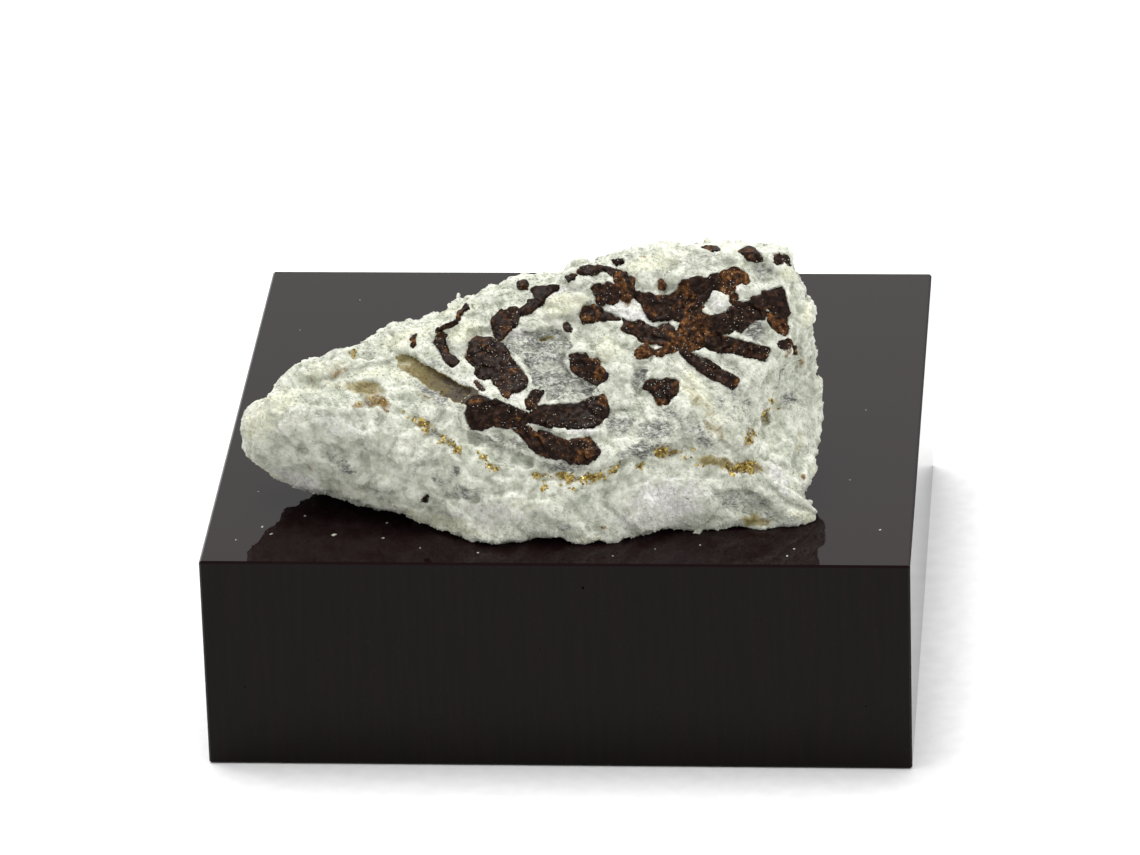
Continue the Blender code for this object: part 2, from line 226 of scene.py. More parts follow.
def bmesh_of(*meshes):
    """Several meshes together as a bmesh."""
    bm = bmesh.new()
    for mesh in meshes:
        bm.from_mesh(mesh)
    return bm


def tree_of(*meshes):
    """The meshes as a tree that finds the nearest point, or where a ray hits, quickly."""
    bm = bmesh_of(*meshes)
    tree = BVHTree.FromBMesh(bm)
    bm.free()
    return tree


def without_specks(mesh):
    """The mesh without the few tiny loose shells that a remesh can leave."""
    bm = bmesh_of(mesh)
    unseen, specks = set(bm.verts), []
    while unseen:
        shell = [unseen.pop()]
        for vert in shell:
            near = {edge.other_vert(vert) for edge in vert.link_edges} & unseen
            unseen -= near
            shell.extend(near)
        if len(shell) < LEAST_CORNERS:
            specks.extend(shell)
    bmesh.ops.delete(bm, geom=specks, context="VERTS")
    bm.to_mesh(mesh)
    bm.free()
    return mesh


# %% Helpers for points as arrays
def points_of(mesh):
    flat = np.empty(len(mesh.vertices) * 3)
    mesh.vertices.foreach_get("co", flat)
    return flat.reshape(-1, 3)


def normals_of(mesh):
    flat = np.empty(len(mesh.vertices) * 3)
    mesh.vertices.foreach_get("normal", flat)
    return flat.reshape(-1, 3)


def move_points(mesh, points):
    mesh.vertices.foreach_set("co", points.ravel())
    mesh.update()


def edges_of(mesh):
    flat = np.empty(len(mesh.edges) * 2, dtype=int)
    mesh.edges.foreach_get("vertices", flat)
    return flat.reshape(-1, 2)


def relaxed(points, edges, movable, rounds):
    """Points pulled again and again to the mean of their neighbours, only those that are movable."""
    count = np.bincount(edges.ravel(), minlength=len(points))[:, None]
    points = points.copy()
    for _ in range(rounds):
        total = np.zeros_like(points)
        for axis in range(3):
            total[:, axis] = np.bincount(edges[:, 0], points[edges[:, 1], axis], len(points))
            total[:, axis] += np.bincount(edges[:, 1], points[edges[:, 0], axis], len(points))
        points[movable] = (total / count)[movable]
    return points


def smoothstep(low, high, value):
    t = np.clip((value - low) / (high - low), 0, 1)
    return t * t * (3 - 2 * t)


def paint(mesh, name, values):
    """A number at each vertex, which a material can read."""
    layer = mesh.attributes.new(name, "FLOAT", "POINT")
    layer.data.foreach_set("value", np.asarray(values, dtype=np.float32))


def noise_over(points, size, shift=0.0):
    """A smooth noise with bumps of that size, read at points (an array)."""
    return np.array([noise.noise(Vector(p) / size + Vector((shift, shift, 0))) for p in points])


print("a speck has fewer than", LEAST_CORNERS, "corners")

# %% [markdown]
# ## Crystal outlines
# The crystals are cut by the broken face, so what shows of each is a flat or lumpy patch with a ragged outline, not
# a clean prism. The outlines were drawn over the photograph as polygons of a few points, in its pixels, grouped by
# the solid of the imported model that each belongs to. The second value says how rusty it is, from 0 to 1.

# %% Crystal outlines, in pixels of the photograph
OUTLINES = {
    "crystal_star_cluster": [
        ("crest_band", 0.3, [(576, 273), (580, 269), (587, 266), (600, 266), (612, 268), (622, 270), (616, 273),
                             (611, 277), (607, 272), (602, 270), (596, 273), (592, 276), (586, 275), (580, 274)]),
        ("crest_end", 0.5, [(566, 277), (572, 275), (577, 274), (575, 279), (569, 281)]),
        ("rust_lump_left", 0.8, [(613, 279), (615, 273), (620, 271), (626, 272), (630, 276), (633, 280), (634, 286),
                                 (635, 292), (632, 297), (628, 299), (629, 302), (623, 302), (620, 297), (620, 290),
                                 (615, 284)]),
        ("dark_lump", 0.4, [(591, 288), (594, 284), (600, 283), (604, 285), (606, 282), (611, 282), (614, 285),
                            (619, 290), (620, 297), (618, 303), (612, 305), (606, 302), (602, 305), (596, 302),
                            (597, 298), (594, 294)]),
        ("left_lump", 0.65, [(580, 317), (582, 311), (584, 306), (590, 306), (596, 306), (601, 308), (603, 312),
                             (600, 318), (597, 322), (589, 323), (583, 322)]),
        ("left_wedge", 0.2, [(600, 308), (606, 312), (612, 313), (617, 317), (621, 319), (620, 321), (612, 321),
                             (604, 321), (598, 320), (600, 313)]),
        ("middle_mass", 0.45, [(622, 317), (627, 321), (634, 322), (638, 320), (645, 322), (651, 326), (657, 328),
                               (662, 323), (669, 323), (674, 328), (676, 333), (679, 338), (676, 346), (670, 350),
                               (664, 346), (656, 344), (648, 344), (640, 342), (636, 337), (630, 335), (624, 332),
                               (621, 329), (624, 325)]),
        ("upper_blade", 0.35, [(634, 292), (640, 291), (648, 293), (656, 296), (664, 296), (672, 293), (678, 290),
                               (684, 293), (688, 300), (686, 308), (684, 316), (684, 322), (678, 322), (672, 320),
                               (666, 320), (660, 321), (652, 322), (648, 318), (645, 312), (641, 305), (637, 301),
                               (634, 298)]),
        ("heart_rise", 0.75, [(677, 290), (678, 284), (684, 281), (689, 281), (690, 286), (696, 293), (700, 300),
                              (704, 307), (700, 314), (692, 316), (685, 316), (684, 308), (686, 300), (682, 294)]),
        ("top_chunk", 0.15, [(688, 285), (690, 279), (696, 277), (706, 278), (711, 276), (714, 282), (713, 288),
                             (711, 293), (708, 299), (704, 304), (699, 302), (694, 296), (690, 290)]),
        ("top_stub", 0.3, [(709, 275), (715, 273), (719, 274), (720, 280), (722, 286), (720, 291), (713, 290),
                           (711, 285), (713, 280)]),
        ("rust_lump_right", 0.9, [(720, 273), (724, 270), (731, 268), (738, 268), (744, 271), (749, 276), (750, 282),
                                  (746, 285), (741, 284), (736, 286), (735, 292), (739, 296), (737, 303), (734, 306),
                                  (730, 303), (730, 296), (724, 293), (718, 291), (720, 284), (722, 278)]),
        ("big_arm", 0.2, [(713, 320), (711, 316), (720, 314), (727, 310), (733, 305), (738, 301), (746, 302),
                          (752, 298), (760, 295), (762, 300), (766, 309), (767, 315), (764, 320), (757, 320),
                          (750, 324), (744, 329), (741, 334), (735, 330), (730, 334), (722, 334), (714, 333),
                          (711, 327)]),
        ("top_triangle", 0.1, [(761, 291), (768, 290), (776, 287), (783, 285), (785, 291), (786, 299), (788, 306),
                               (789, 314), (786, 318), (781, 320), (777, 314), (770, 311), (764, 306), (761, 299)]),
        ("brown_wing", 0.75, [(767, 313), (774, 312), (781, 318), (787, 318), (787, 325), (789, 333), (786, 337),
                              (782, 335), (778, 333), (772, 328), (768, 321)]),
        ("wing_thread", 0.7, [(785, 336), (788, 338), (792, 343), (797, 349), (797, 355), (794, 358), (792, 352),
                              (790, 347)]),
        ("right_grain", 0.4, [(777, 344), (780, 340), (787, 340), (790, 345), (792, 349), (786, 350), (781, 349)]),
        ("right_bar", 0.15, [(704, 339), (714, 336), (722, 336), (733, 338), (742, 340), (750, 343), (758, 345),
                             (765, 347), (770, 349), (769, 355), (766, 362), (758, 360), (748, 358), (738, 355),
                             (728, 353), (718, 353), (711, 351), (704, 347)]),
        ("low_bar", 0.2, [(679, 352), (684, 349), (692, 352), (698, 355), (708, 361), (718, 367), (728, 372),
                          (738, 378), (740, 381), (737, 385), (733, 391), (727, 387), (717, 381), (708, 376),
                          (698, 370), (690, 363), (684, 358)]),
        ("rust_heart", 0.85, [(676, 333), (684, 318), (694, 316), (702, 312), (710, 316), (714, 322), (716, 330),
                              (712, 337), (704, 340), (704, 347), (698, 351), (690, 351), (680, 350), (672, 353),
                              (664, 354), (662, 348), (668, 344), (672, 339)]),
        ("low_lump", 0.8, [(634, 354), (637, 349), (641, 345), (648, 345), (653, 349), (653, 354), (648, 358),
                           (640, 359), (635, 357)]),
        ("low_lump_right", 0.75, [(655, 351), (659, 349), (665, 348), (666, 353), (662, 357), (657, 357),
                                  (654, 354)]),
    ],
    "crystal_left_twin": [
        ("twin_upper", 0.25, [(464, 358), (467, 352), (469, 346), (472, 339), (476, 336), (481, 338), (490, 338),
                              (498, 341), (504, 344), (509, 351), (511, 357), (502, 366), (498, 372), (491, 379),
                              (485, 381), (479, 380), (474, 374), (475, 368), (469, 364)]),
        ("twin_lower", 0.35, [(491, 378), (498, 372), (504, 364), (511, 357), (516, 363), (522, 370), (526, 377),
                              (528, 381), (526, 387), (520, 391), (514, 394), (511, 395), (508, 399), (503, 396),
                              (499, 390), (493, 384)]),
        ("twin_wedge", 0.5, [(491, 322), (493, 318), (498, 314), (503, 310), (510, 309), (516, 309), (522, 310),
                             (519, 316), (518, 321), (515, 327), (510, 331), (506, 336), (502, 339), (498, 341),
                             (494, 336), (492, 329)]),
        ("wedge_tail", 0.15, [(521, 310), (525, 305), (529, 301), (534, 300), (533, 293), (530, 289), (536, 287),
                              (545, 286), (554, 286), (560, 288), (556, 291), (550, 294), (546, 299), (543, 303),
                              (539, 307), (534, 310), (528, 313), (520, 316)]),
        ("twin_flake", 0.6, [(473, 382), (477, 381), (482, 386), (486, 391), (483, 393), (478, 389)]),
        ("crest_chip", 0.4, [(517, 286), (519, 282), (524, 280), (529, 284), (527, 288), (521, 288)]),
    ],
    "crystal_bar": [
        ("bar_left", 0.2, [(465, 414), (466, 407), (468, 401), (471, 397), (478, 395), (485, 396), (492, 400),
                           (500, 401), (508, 404), (516, 408), (524, 412), (529, 414), (529, 422), (524, 426),
                           (516, 427), (508, 429), (500, 428), (494, 427), (488, 429), (480, 431), (470, 430),
                           (467, 423)]),
        ("bar_right", 0.12, [(529, 414), (533, 410), (537, 406), (548, 405), (560, 404), (572, 404), (580, 403),
                             (586, 399), (590, 396), (598, 396), (603, 394), (607, 399), (608, 408), (609, 413),
                             (606, 418), (600, 423), (594, 427), (586, 429), (575, 429), (562, 428), (550, 427),
                             (540, 424), (529, 423)]),
        ("bar_grain", 0.4, [(526, 409), (526, 401), (528, 395), (532, 390), (538, 389), (544, 391), (543, 396),
                            (538, 402), (535, 407), (531, 411)]),
    ],
    "crystal_lower": [
        ("lower_neck", 0.6, [(512, 429), (521, 427), (530, 425), (534, 430), (530, 440), (524, 440), (518, 434)]),
        ("lower_blade", 0.4, [(528, 427), (533, 430), (540, 432), (545, 433), (552, 434), (558, 438), (566, 441),
                              (565, 449), (562, 455), (560, 460), (553, 459), (545, 458), (536, 453), (528, 446),
                              (523, 438)]),
        ("lower_end", 0.55, [(563, 441), (568, 441), (576, 438), (583, 438), (590, 437), (594, 442), (599, 449),
                             (600, 453), (596, 460), (589, 463), (580, 465), (572, 465), (565, 460), (560, 459),
                             (562, 450)]),
    ],
    "crystal_mid": [
        ("mid_left", 0.2, [(569, 355), (577, 353), (586, 353), (589, 359), (593, 363), (594, 371), (592, 379),
                           (591, 384), (583, 378), (576, 375), (571, 369), (570, 362)]),
        ("mid_right", 0.55, [(590, 359), (598, 359), (600, 367), (608, 375), (605, 381), (597, 386), (591, 384),
                             (592, 375), (594, 367)]),
    ],
    "crystal_right_small": [
        ("kite", 0.4, [(641, 388), (646, 382), (651, 379), (660, 380), (667, 378), (674, 378), (680, 381), (679, 388),
                       (678, 393), (672, 399), (662, 399), (654, 398), (650, 392)]),
        ("kite_foot", 0.8, [(654, 398), (663, 399), (672, 399), (668, 405), (658, 404)]),
    ],
    "crystal_curl": [
        ("curl_upper", 0.5, [(434, 343), (437, 337), (440, 333), (444, 333), (447, 335), (445, 338), (446, 344),
                             (448, 350), (450, 355), (444, 357), (441, 352), (437, 347)]),
        ("curl_lower", 0.2, [(441, 352), (450, 355), (455, 357), (460, 362), (457, 366), (452, 367), (446, 363),
                             (443, 359)]),
    ],
    "crystal_crest_left": [
        ("crest_thread", 0.5, [(436, 332), (438, 329), (443, 327), (450, 324), (456, 321), (457, 316), (459, 311),
                               (463, 306), (468, 303), (469, 308), (464, 311), (461, 315), (460, 319), (457, 323),
                               (450, 326), (443, 330)]),
    ],
    "crystal_top_left": [
        ("top_left", 0.5, [(702, 244), (706, 242), (711, 242), (716, 244), (720, 248), (720, 252), (713, 252),
                           (710, 249)]),
    ],
    "crystal_top_middle": [
        ("top_middle", 0.5, [(738, 251), (741, 247), (748, 244), (754, 246), (757, 251), (763, 257), (762, 261),
                             (755, 261), (750, 261), (745, 258), (742, 253)]),
    ],
    "crystal_top_right": [
        ("top_right", 0.5, [(773, 254), (778, 253), (783, 255), (788, 257), (790, 261), (791, 267), (787, 266),
                            (784, 262), (781, 264), (776, 265), (774, 260)]),
    ],
    "crystal_grain_left": [
        ("grain_left", 0.6, [(410, 340), (413, 335), (417, 335), (415, 340), (416, 346), (413, 350), (410, 346)]),
    ],
    "crystal_grain_middle": [
        ("grain_middle", 0.6, [(562, 325), (565, 323), (569, 323), (570, 327), (572, 329), (570, 332), (565, 330)]),
    ],
    "crystal_grain_upper": [
        ("grain_upper", 0.6, [(658, 281), (661, 278), (664, 280), (665, 284), (667, 287), (664, 290), (660, 289)]),
    ],
    "crystal_grain_crest": [
        ("grain_crest", 0.4, [(613, 261), (617, 259), (624, 258), (624, 263), (619, 265), (616, 266)]),
    ],
    "crystal_grain_low": [
        ("grain_low", 0.2, [(421, 501), (422, 498), (425, 496), (428, 494), (429, 498), (427, 502), (424, 501)]),
    ],
}
print("outlines", sum(len(group) for group in OUTLINES.values()))


# %% Inside an outline
def inside(outline, u, v):
    """Which of the pixels (arrays) lie in the outline, by counting its edges to their right."""
    crossings = np.zeros(len(u), dtype=int)
    for (u0, v0), (u1, v1) in zip(outline, outline[1:] + outline[:1]):
        if v0 == v1:
            continue
        spans = (v >= min(v0, v1)) & (v < max(v0, v1))
        crossings += spans & (u < u0 + (v - v0) * (u1 - u0) / (v1 - v0))
    return crossings % 2 == 1


# %% [markdown]
# ## The rock's form
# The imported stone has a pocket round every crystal. On the real stone rock and crystal have grown together, so the
# pockets are filled first. A copy of each packed crystal is swollen and pushed in, until it plugs its pocket up to
# the level of the rock, and a voxel remesh joins stone and plugs under one skin of even squares. Which way is in
# comes from a rough draft, whose pockets have closed over like drumheads because every point near a crystal was
# pulled to the mean of its neighbours. The foot is drawn down the last third of a millimetre, so that the stone
# stands on its block.

# %% Stone without its pockets
POCKET_VOXEL = 0.22 * MM
POCKET_REACH = 0.45 * MM
DRUMHEAD_ROUNDS = 420
PLUG_SWELL, PLUG_PUSH = 0.5 * MM, 0.78 * MM
PLUG_ROUNDS = 25
REST_GAP = 0.3 * MM
REST_BLEND = 3.0 * MM
ROCK_VOXEL = 0.135 * MM
SAME_POINT = 0.0005 * MM


def merged_copy(node):
    """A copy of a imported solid's mesh, with the corners of its loose triangles merged."""
    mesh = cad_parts[node].data.copy()
    bm = bmesh_of(mesh)
    bmesh.ops.remove_doubles(bm, verts=bm.verts, dist=SAME_POINT)
    bm.to_mesh(mesh)
    bm.free()
    return mesh


def closed_over(mesh, rounds):
    """The mesh with every point near a packed crystal pulled to the mean of its neighbours."""
    points = points_of(mesh)
    near = np.array([crystal_solids.find_nearest(Vector(p), POCKET_REACH)[0] is not None for p in points])
    move_points(mesh, relaxed(points, edges_of(mesh), near, rounds))
    return mesh


solids = [merged_copy(node) for node in OUTLINES]
crystal_solids = tree_of(*solids)
draft = tree_of(closed_over(remeshed(merged_copy("matrix_rock"), POCKET_VOXEL), DRUMHEAD_ROUNDS))
for solid in solids:
    points, normals = points_of(solid), normals_of(solid)
    outward = np.array([draft.find_nearest(Vector(p))[1] for p in points])
    move_points(solid, points + normals * PLUG_SWELL - outward * PLUG_PUSH)
plugged = mesh_from(bmesh_of(merged_copy("matrix_rock"), *solids), "plugged")
rock = closed_over(remeshed(plugged, POCKET_VOXEL), PLUG_ROUNDS)
points = points_of(rock)
drop = 1 - smoothstep(0, REST_BLEND, points[:, 2] - BLOCK_TOP - REST_GAP)
points[:, 2] -= REST_GAP * drop
move_points(rock, points)
print("pockets filled", len(rock.polygons), "squares")

# %% [markdown]
# ## The stone's outline
# A broken edge is ragged in its own way, so the rim of the stone, where it turns away from the eye, is drawn to the
# outline that it has in the photograph. Each point of the rim gets the push to the nearest place on that outline,
# at most a millimetre, and the points within reach of the rim share in it, less the further away they are. Above the
# foot the rim stops a little short of the outline, which leaves room for the relief that comes on top.

# %% Outline, in pixels of the photograph
STONE_OUTLINE = [
    (237, 427), (241, 412), (270, 391), (283, 372), (301, 362), (326, 353), (359, 342), (385, 326), (406, 323),
    (427, 315), (456, 307), (466, 303), (493, 290), (513, 282), (530, 279), (568, 276), (576, 268), (597, 264),
    (618, 252), (640, 250), (680, 246), (704, 243), (720, 246), (748, 246), (770, 246), (790, 251), (795, 262),
    (800, 272), (799, 283), (810, 303), (814, 323), (820, 356), (822, 398), (824, 415), (821, 443), (813, 476),
    (804, 485), (813, 503), (822, 511), (825, 526), (785, 527), (757, 532), (716, 531), (678, 527), (655, 532),
    (623, 540), (604, 545), (570, 543), (539, 536), (503, 541), (485, 546), (475, 545), (454, 535), (426, 525),
    (393, 511), (362, 507), (335, 498), (294, 488), (261, 466), (249, 458), (240, 438),
]
RIM_TURN = 0.35  # how much of a rim point's normal may point at the eye
RIM_REACH, MOST_PUSH = 2.5 * MM, 1.0 * MM
RIM_NEIGHBOURS = 12
RELIEF_ROOM = 4.0  # pixels
FOOT_TURN = 0.3  # how far down the outline may face before it counts as the foot


def way_to_edge(u, v, start, end):
    """The shortest way, across and down, from pixels (arrays) to a straight edge."""
    (u0, v0), (u1, v1) = start, end
    along = np.clip(((u - u0) * (u1 - u0) + (v - v0) * (v1 - v0)) / ((u1 - u0) ** 2 + (v1 - v0) ** 2), 0, 1)
    return u0 + along * (u1 - u0) - u, v0 + along * (v1 - v0) - v


def push_to_outline(u, v):
    """The shortest way from pixels (arrays) to the stone's outline."""
    best, push = np.full(len(u), np.inf), np.zeros((len(u), 2))
    corners = np.array(STONE_OUTLINE, dtype=float)
    for start, end in zip(corners, np.roll(corners, -1, axis=0)):
        way = np.stack(way_to_edge(u, v, start, end), axis=1)
        far = np.hypot(way[:, 0], way[:, 1])
        outward = np.array([end[1] - start[1], start[0] - end[0]]) / math.hypot(*(end - start))
        push[far < best] = way[far < best] - outward * (RELIEF_ROOM if outward[1] < FOOT_TURN else 0)
        best = np.minimum(best, far)
    return push


# %% The rim, pushed to the outline
points, normals = points_of(rock), normals_of(rock)
push = push_to_outline(*pixels_of(points)) / PIXELS_PER_MM * MM
rim = (np.abs(normals @ np.array(BACK)) < RIM_TURN) & (np.hypot(push[:, 0], push[:, 1]) < MOST_PUSH)
rim_tree = kdtree.KDTree(int(rim.sum()))
for i in np.nonzero(rim)[0]:
    rim_tree.insert(Vector(points[i]), int(i))
rim_tree.balance()
before = points.copy()
for i, point in enumerate(before):
    near = rim_tree.find_n(Vector(point), RIM_NEIGHBOURS)
    share = 1 - near[0][2] / RIM_REACH
    if share > 0:
        way = push[[index for _, index, _ in near]].mean(axis=0) * share
        points[i] += np.array(RIGHT) * way[0] - np.array(UP) * way[1]
points[:, 2] = np.maximum(points[:, 2], BLOCK_TOP)
move_points(rock, points)
rock = remeshed(rock, ROCK_VOXEL)
rock_form = tree_of(rock)
print("rim points", int(rim.sum()), "squares", len(rock.polygons))

# %% [markdown]
# ## Places on the stone
# Some marks of the photograph belong to a spot on the stone: greyer, glassier patches, creamy ridges, the olive
# faces of a thin vein, brown stain, and the larger steps and hollows. Each is a soft ellipse in the photograph's
# pixels: its middle, its half width and half height, its turn in degrees and its strength. The largest steps and the
# vein's faces are areas with an outline of a few points. Noise makes the points of the stone wander before they are
# looked up, so the edges come out broken and neither ellipse nor straight line is left.

# %% Soft marks, in pixels of the photograph
GREY_MARKS = [
    (540, 352, 34, 16, 15, 1.0), (575, 385, 26, 10, 10, 0.8), (505, 445, 34, 10, 15, 0.7), (560, 465, 30, 8, 10, 0.7),
    (624, 424, 22, 14, -5, 0.8), (640, 378, 12, 15, 0, 0.9), (640, 450, 30, 8, -10, 0.9), (336, 456, 18, 12, 20, 0.5),
    (302, 450, 8, 8, 20, 0.5), (456, 471, 6, 6, 0, 0.9), (462, 494, 22, 9, 5, 0.6), (742, 502, 30, 17, 10, 0.75),
    (565, 527, 14, 5, 0, 0.8), (430, 430, 14, 10, 45, 0.6), (447, 368, 26, 6, 28, 0.6), (756, 332, 11, 11, 0, 1.0),
    (375, 350, 18, 10, -30, 0.5), (762, 272, 18, 9, 10, 0.7), (630, 256, 22, 5, -10, 0.5), (790, 398, 9, 7, 0, 1.0),
    (745, 425, 10, 18, 20, 0.5), (700, 430, 16, 10, 0, 0.6), (350, 470, 12, 6, 0, 0.8), (286, 432, 8, 10, 0, 0.3),
    (705, 402, 40, 16, 20, 0.35), (425, 462, 28, 20, 0, 0.4), (432, 394, 22, 8, 28, 0.95), (452, 404, 16, 6, 20, 0.7),
    (655, 430, 24, 12, -5, 0.95), (668, 412, 16, 8, 0, 0.7), (690, 422, 20, 14, 30, 0.55), (764, 514, 22, 8, 15, 0.5),
    (735, 395, 24, 30, 20, 0.5), (700, 440, 30, 12, 0, 0.55), (700, 262, 40, 10, -5, 0.5), (662, 275, 20, 8, 0, 0.4),
    (436, 480, 10, 6, 30, 0.6), (720, 262, 20, 5, 0, 0.4), (806, 440, 6, 26, 0, 0.4), (470, 420, 10, 14, 0, 0.5),
]
CREAM_MARKS = [
    (465, 333, 20, 12, -20, 1.0), (564, 304, 26, 12, -15, 1.0), (655, 262, 38, 12, -10, 0.7),
    (692, 388, 22, 11, 40, 1.3),
    # the mark at (320, 386) lightens a spot that lies in the relief's shade: painted light
    (258, 424, 20, 22, 0, 0.8), (280, 402, 24, 10, -25, 0.8), (320, 386, 26, 8, -10, 0.5), (440, 522, 44, 9, 15, 1.0),
    (520, 508, 22, 10, 0, 0.6), (608, 350, 20, 14, 10, 0.7),
    (404, 338, 40, 9, -20, 0.7), (788, 274, 9, 8, 10, 0.9), (807, 312, 6, 16, 10, 0.9), (803, 516, 16, 6, 20, 1.0),
    (320, 370, 40, 8, -15, 0.6), (455, 312, 26, 6, -20, 0.8), (592, 541, 18, 4, 0, 0.9), (372, 372, 26, 8, -5, 0.6),
    (306, 498, 14, 6, 20, 0.5), (736, 420, 8, 30, 20, 0.4), (355, 495, 30, 8, 10, 0.5),
    (714, 418, 34, 9, 52, 0.7), (333, 384, 22, 5, 5, 0.7), (395, 374, 20, 5, 25, 0.6), (752, 262, 16, 5, 0, 0.4),
]
WHITE_MARKS = [
    # the mark at (672, 500) whitens the foot: its own pale colour, widened further as painted light against the
    # relief's shade
    (672, 500, 42, 26, 0, 0.8), (640, 520, 40, 10, 0, 0.6), (345, 428, 40, 12, 20, 0.5), (718, 302, 11, 11, 0, 1.0),
    (630, 312, 26, 10, 20, 0.9), (712, 430, 30, 14, 0, 0.4), (520, 335, 14, 12, 0, 0.7), (560, 291, 30, 4, -5, 0.8),
    (470, 380, 20, 8, 28, 0.7), (585, 430, 24, 5, 0, 0.8), (300, 482, 34, 10, 25, 0.7), (700, 366, 20, 6, 25, 0.6),
    (535, 395, 30, 5, 0, 0.5), (780, 480, 8, 20, -30, 0.8), (500, 515, 50, 14, 5, 0.6), (740, 285, 14, 8, 0, 0.6),
]
OLIVE_MARKS = [
    (714, 461, 22, 6, 8, 0.6), (712, 430, 14, 6, 50, 0.35), (425, 396, 14, 5, 20, 0.3), (365, 388, 20, 8, 10, 0.6),
    (757, 520, 18, 7, 5, 0.5), (700, 402, 24, 7, 48, 0.3), (722, 434, 20, 6, 55, 0.28), (800, 440, 5, 18, 0, 0.25),
    # the mark at (546, 338) darkens the slit in the grey slab: painted shade
    (546, 338, 7, 1.6, 0, 0.7),
]
STAIN_MARKS = [
    (378, 401, 16, 8, 12, 1.1), (358, 404, 12, 4, 8, 0.95), (384, 410, 7, 3, 15, 0.9), (422, 424, 14, 10, 50, 0.85),
    (335, 374, 20, 7, -30, 0.8), (340, 386, 6, 2, 20, 0.5), (750, 438, 7, 13, 10, 0.9), (765, 414, 5, 13, 8, 0.8),
    (740, 467, 28, 10, 0, 0.9),
    (801, 362, 3, 8, 10, 0.7), (604, 528, 4, 3, 0, 1.3), (764, 520, 10, 4, 0, 0.9), (803, 478, 4, 5, 0, 1.2),
    (804, 374, 3, 3, 0, 0.7), (665, 452, 12, 8, 0, 0.8), (575, 480, 38, 6, -3, 0.75), (311, 379, 2, 2, 0, 1.2),
    (310, 470, 5, 2, 60, 0.8), (268, 400, 12, 5, -20, 0.35), (790, 352, 3, 8, 20, 0.9), (645, 258, 3, 2, 0, 1.0),
    (642, 268, 2, 1.5, 0, 0.9), (628, 305, 4, 2, 0, 0.8), (504, 398, 5, 3, 30, 0.8), (688, 499, 3, 2, 0, 0.9),
]
SEAM_MARKS = [
    (409, 415, 7, 3, 45, 0.8), (424, 424, 9, 6, 50, 1.2), (440, 437, 8, 2, 45, 0.6), (455, 448, 8, 4, 40, 1.2),
    (482, 457, 6, 2, 25, 1.1), (494, 467, 7, 3, 45, 1.2), (538, 475, 10, 3, 8, 1.1), (565, 478, 12, 4, 10, 1.5),
    (592, 477, 14, 4, -15, 1.6), (615, 468, 9, 3, -30, 0.8), (640, 464, 6, 3, 0, 0.8), (662, 452, 6, 5, 0, 1.4),
    (674, 452, 5, 3, 0, 0.7), (692, 448, 4, 2, 0, 0.9), (722, 467, 5, 3, 0, 1.0), (742, 468, 15, 5, -5, 1.8),
    (765, 415, 3, 9, 10, 1.1), (771, 400, 3, 2, 0, 0.9), (750, 438, 4, 7, 10, 0.8), (764, 522, 6, 3, 10, 0.7),
    (376, 403, 12, 4, 5, 0.15), (353, 354, 3, 3, 0, 1.3), (332, 374, 10, 3, -30, 0.15), (545, 487, 3, 3, 0, 1.0),
    (779, 409, 2, 3, 0, 0.7), (580, 488, 20, 3, 0, 0.3), (690, 460, 16, 3, 15, 0.35),
]
print("soft marks", sum(len(m) for m in (GREY_MARKS, CREAM_MARKS, WHITE_MARKS, OLIVE_MARKS, STAIN_MARKS, SEAM_MARKS)))

# %% Steps and hollows, in pixels of the photograph
HEIGHT_MARKS = [  # the last value is in mm, out of the rock
    (352, 367, 44, 4, -14, 0.3), (404, 350, 12, 6, -50, 0.25), (464, 333, 14, 8, -20, 0.2), (565, 303, 20, 7, -15, 0.2),
    (692, 384, 26, 4, 42, 0.3), (585, 434, 34, 3, 0, 0.2), (560, 466, 36, 4, 5, -0.2), (580, 480, 46, 3, 0, -0.2),
    (438, 436, 38, 3, 43, -0.25), (335, 456, 16, 9, 20, -0.35), (302, 450, 6, 7, 0, -0.3), (350, 432, 16, 8, 20, 0.15),
    (310, 430, 14, 12, 0, 0.15), (380, 440, 14, 14, 0, 0.2), (793, 497, 32, 4, 33, 0.35), (797, 470, 5, 16, -10, -0.45),
    (742, 503, 26, 12, 5, -0.35), (807, 312, 6, 16, 8, 0.4), (818, 392, 4, 14, 0, 0.3), (800, 352, 3, 24, 5, -0.3),
    (756, 332, 10, 9, 0, -0.3), (718, 302, 10, 10, 0, 0.15), (462, 495, 20, 7, 5, -0.3), (735, 468, 22, 4, 0, -0.25),
    (762, 425, 4, 30, 12, -0.3), (420, 470, 20, 16, 0, 0.15), (520, 505, 30, 10, 5, 0.2), (788, 425, 10, 40, 4, 0.2),
    (778, 466, 22, 3, 25, -0.25),
]
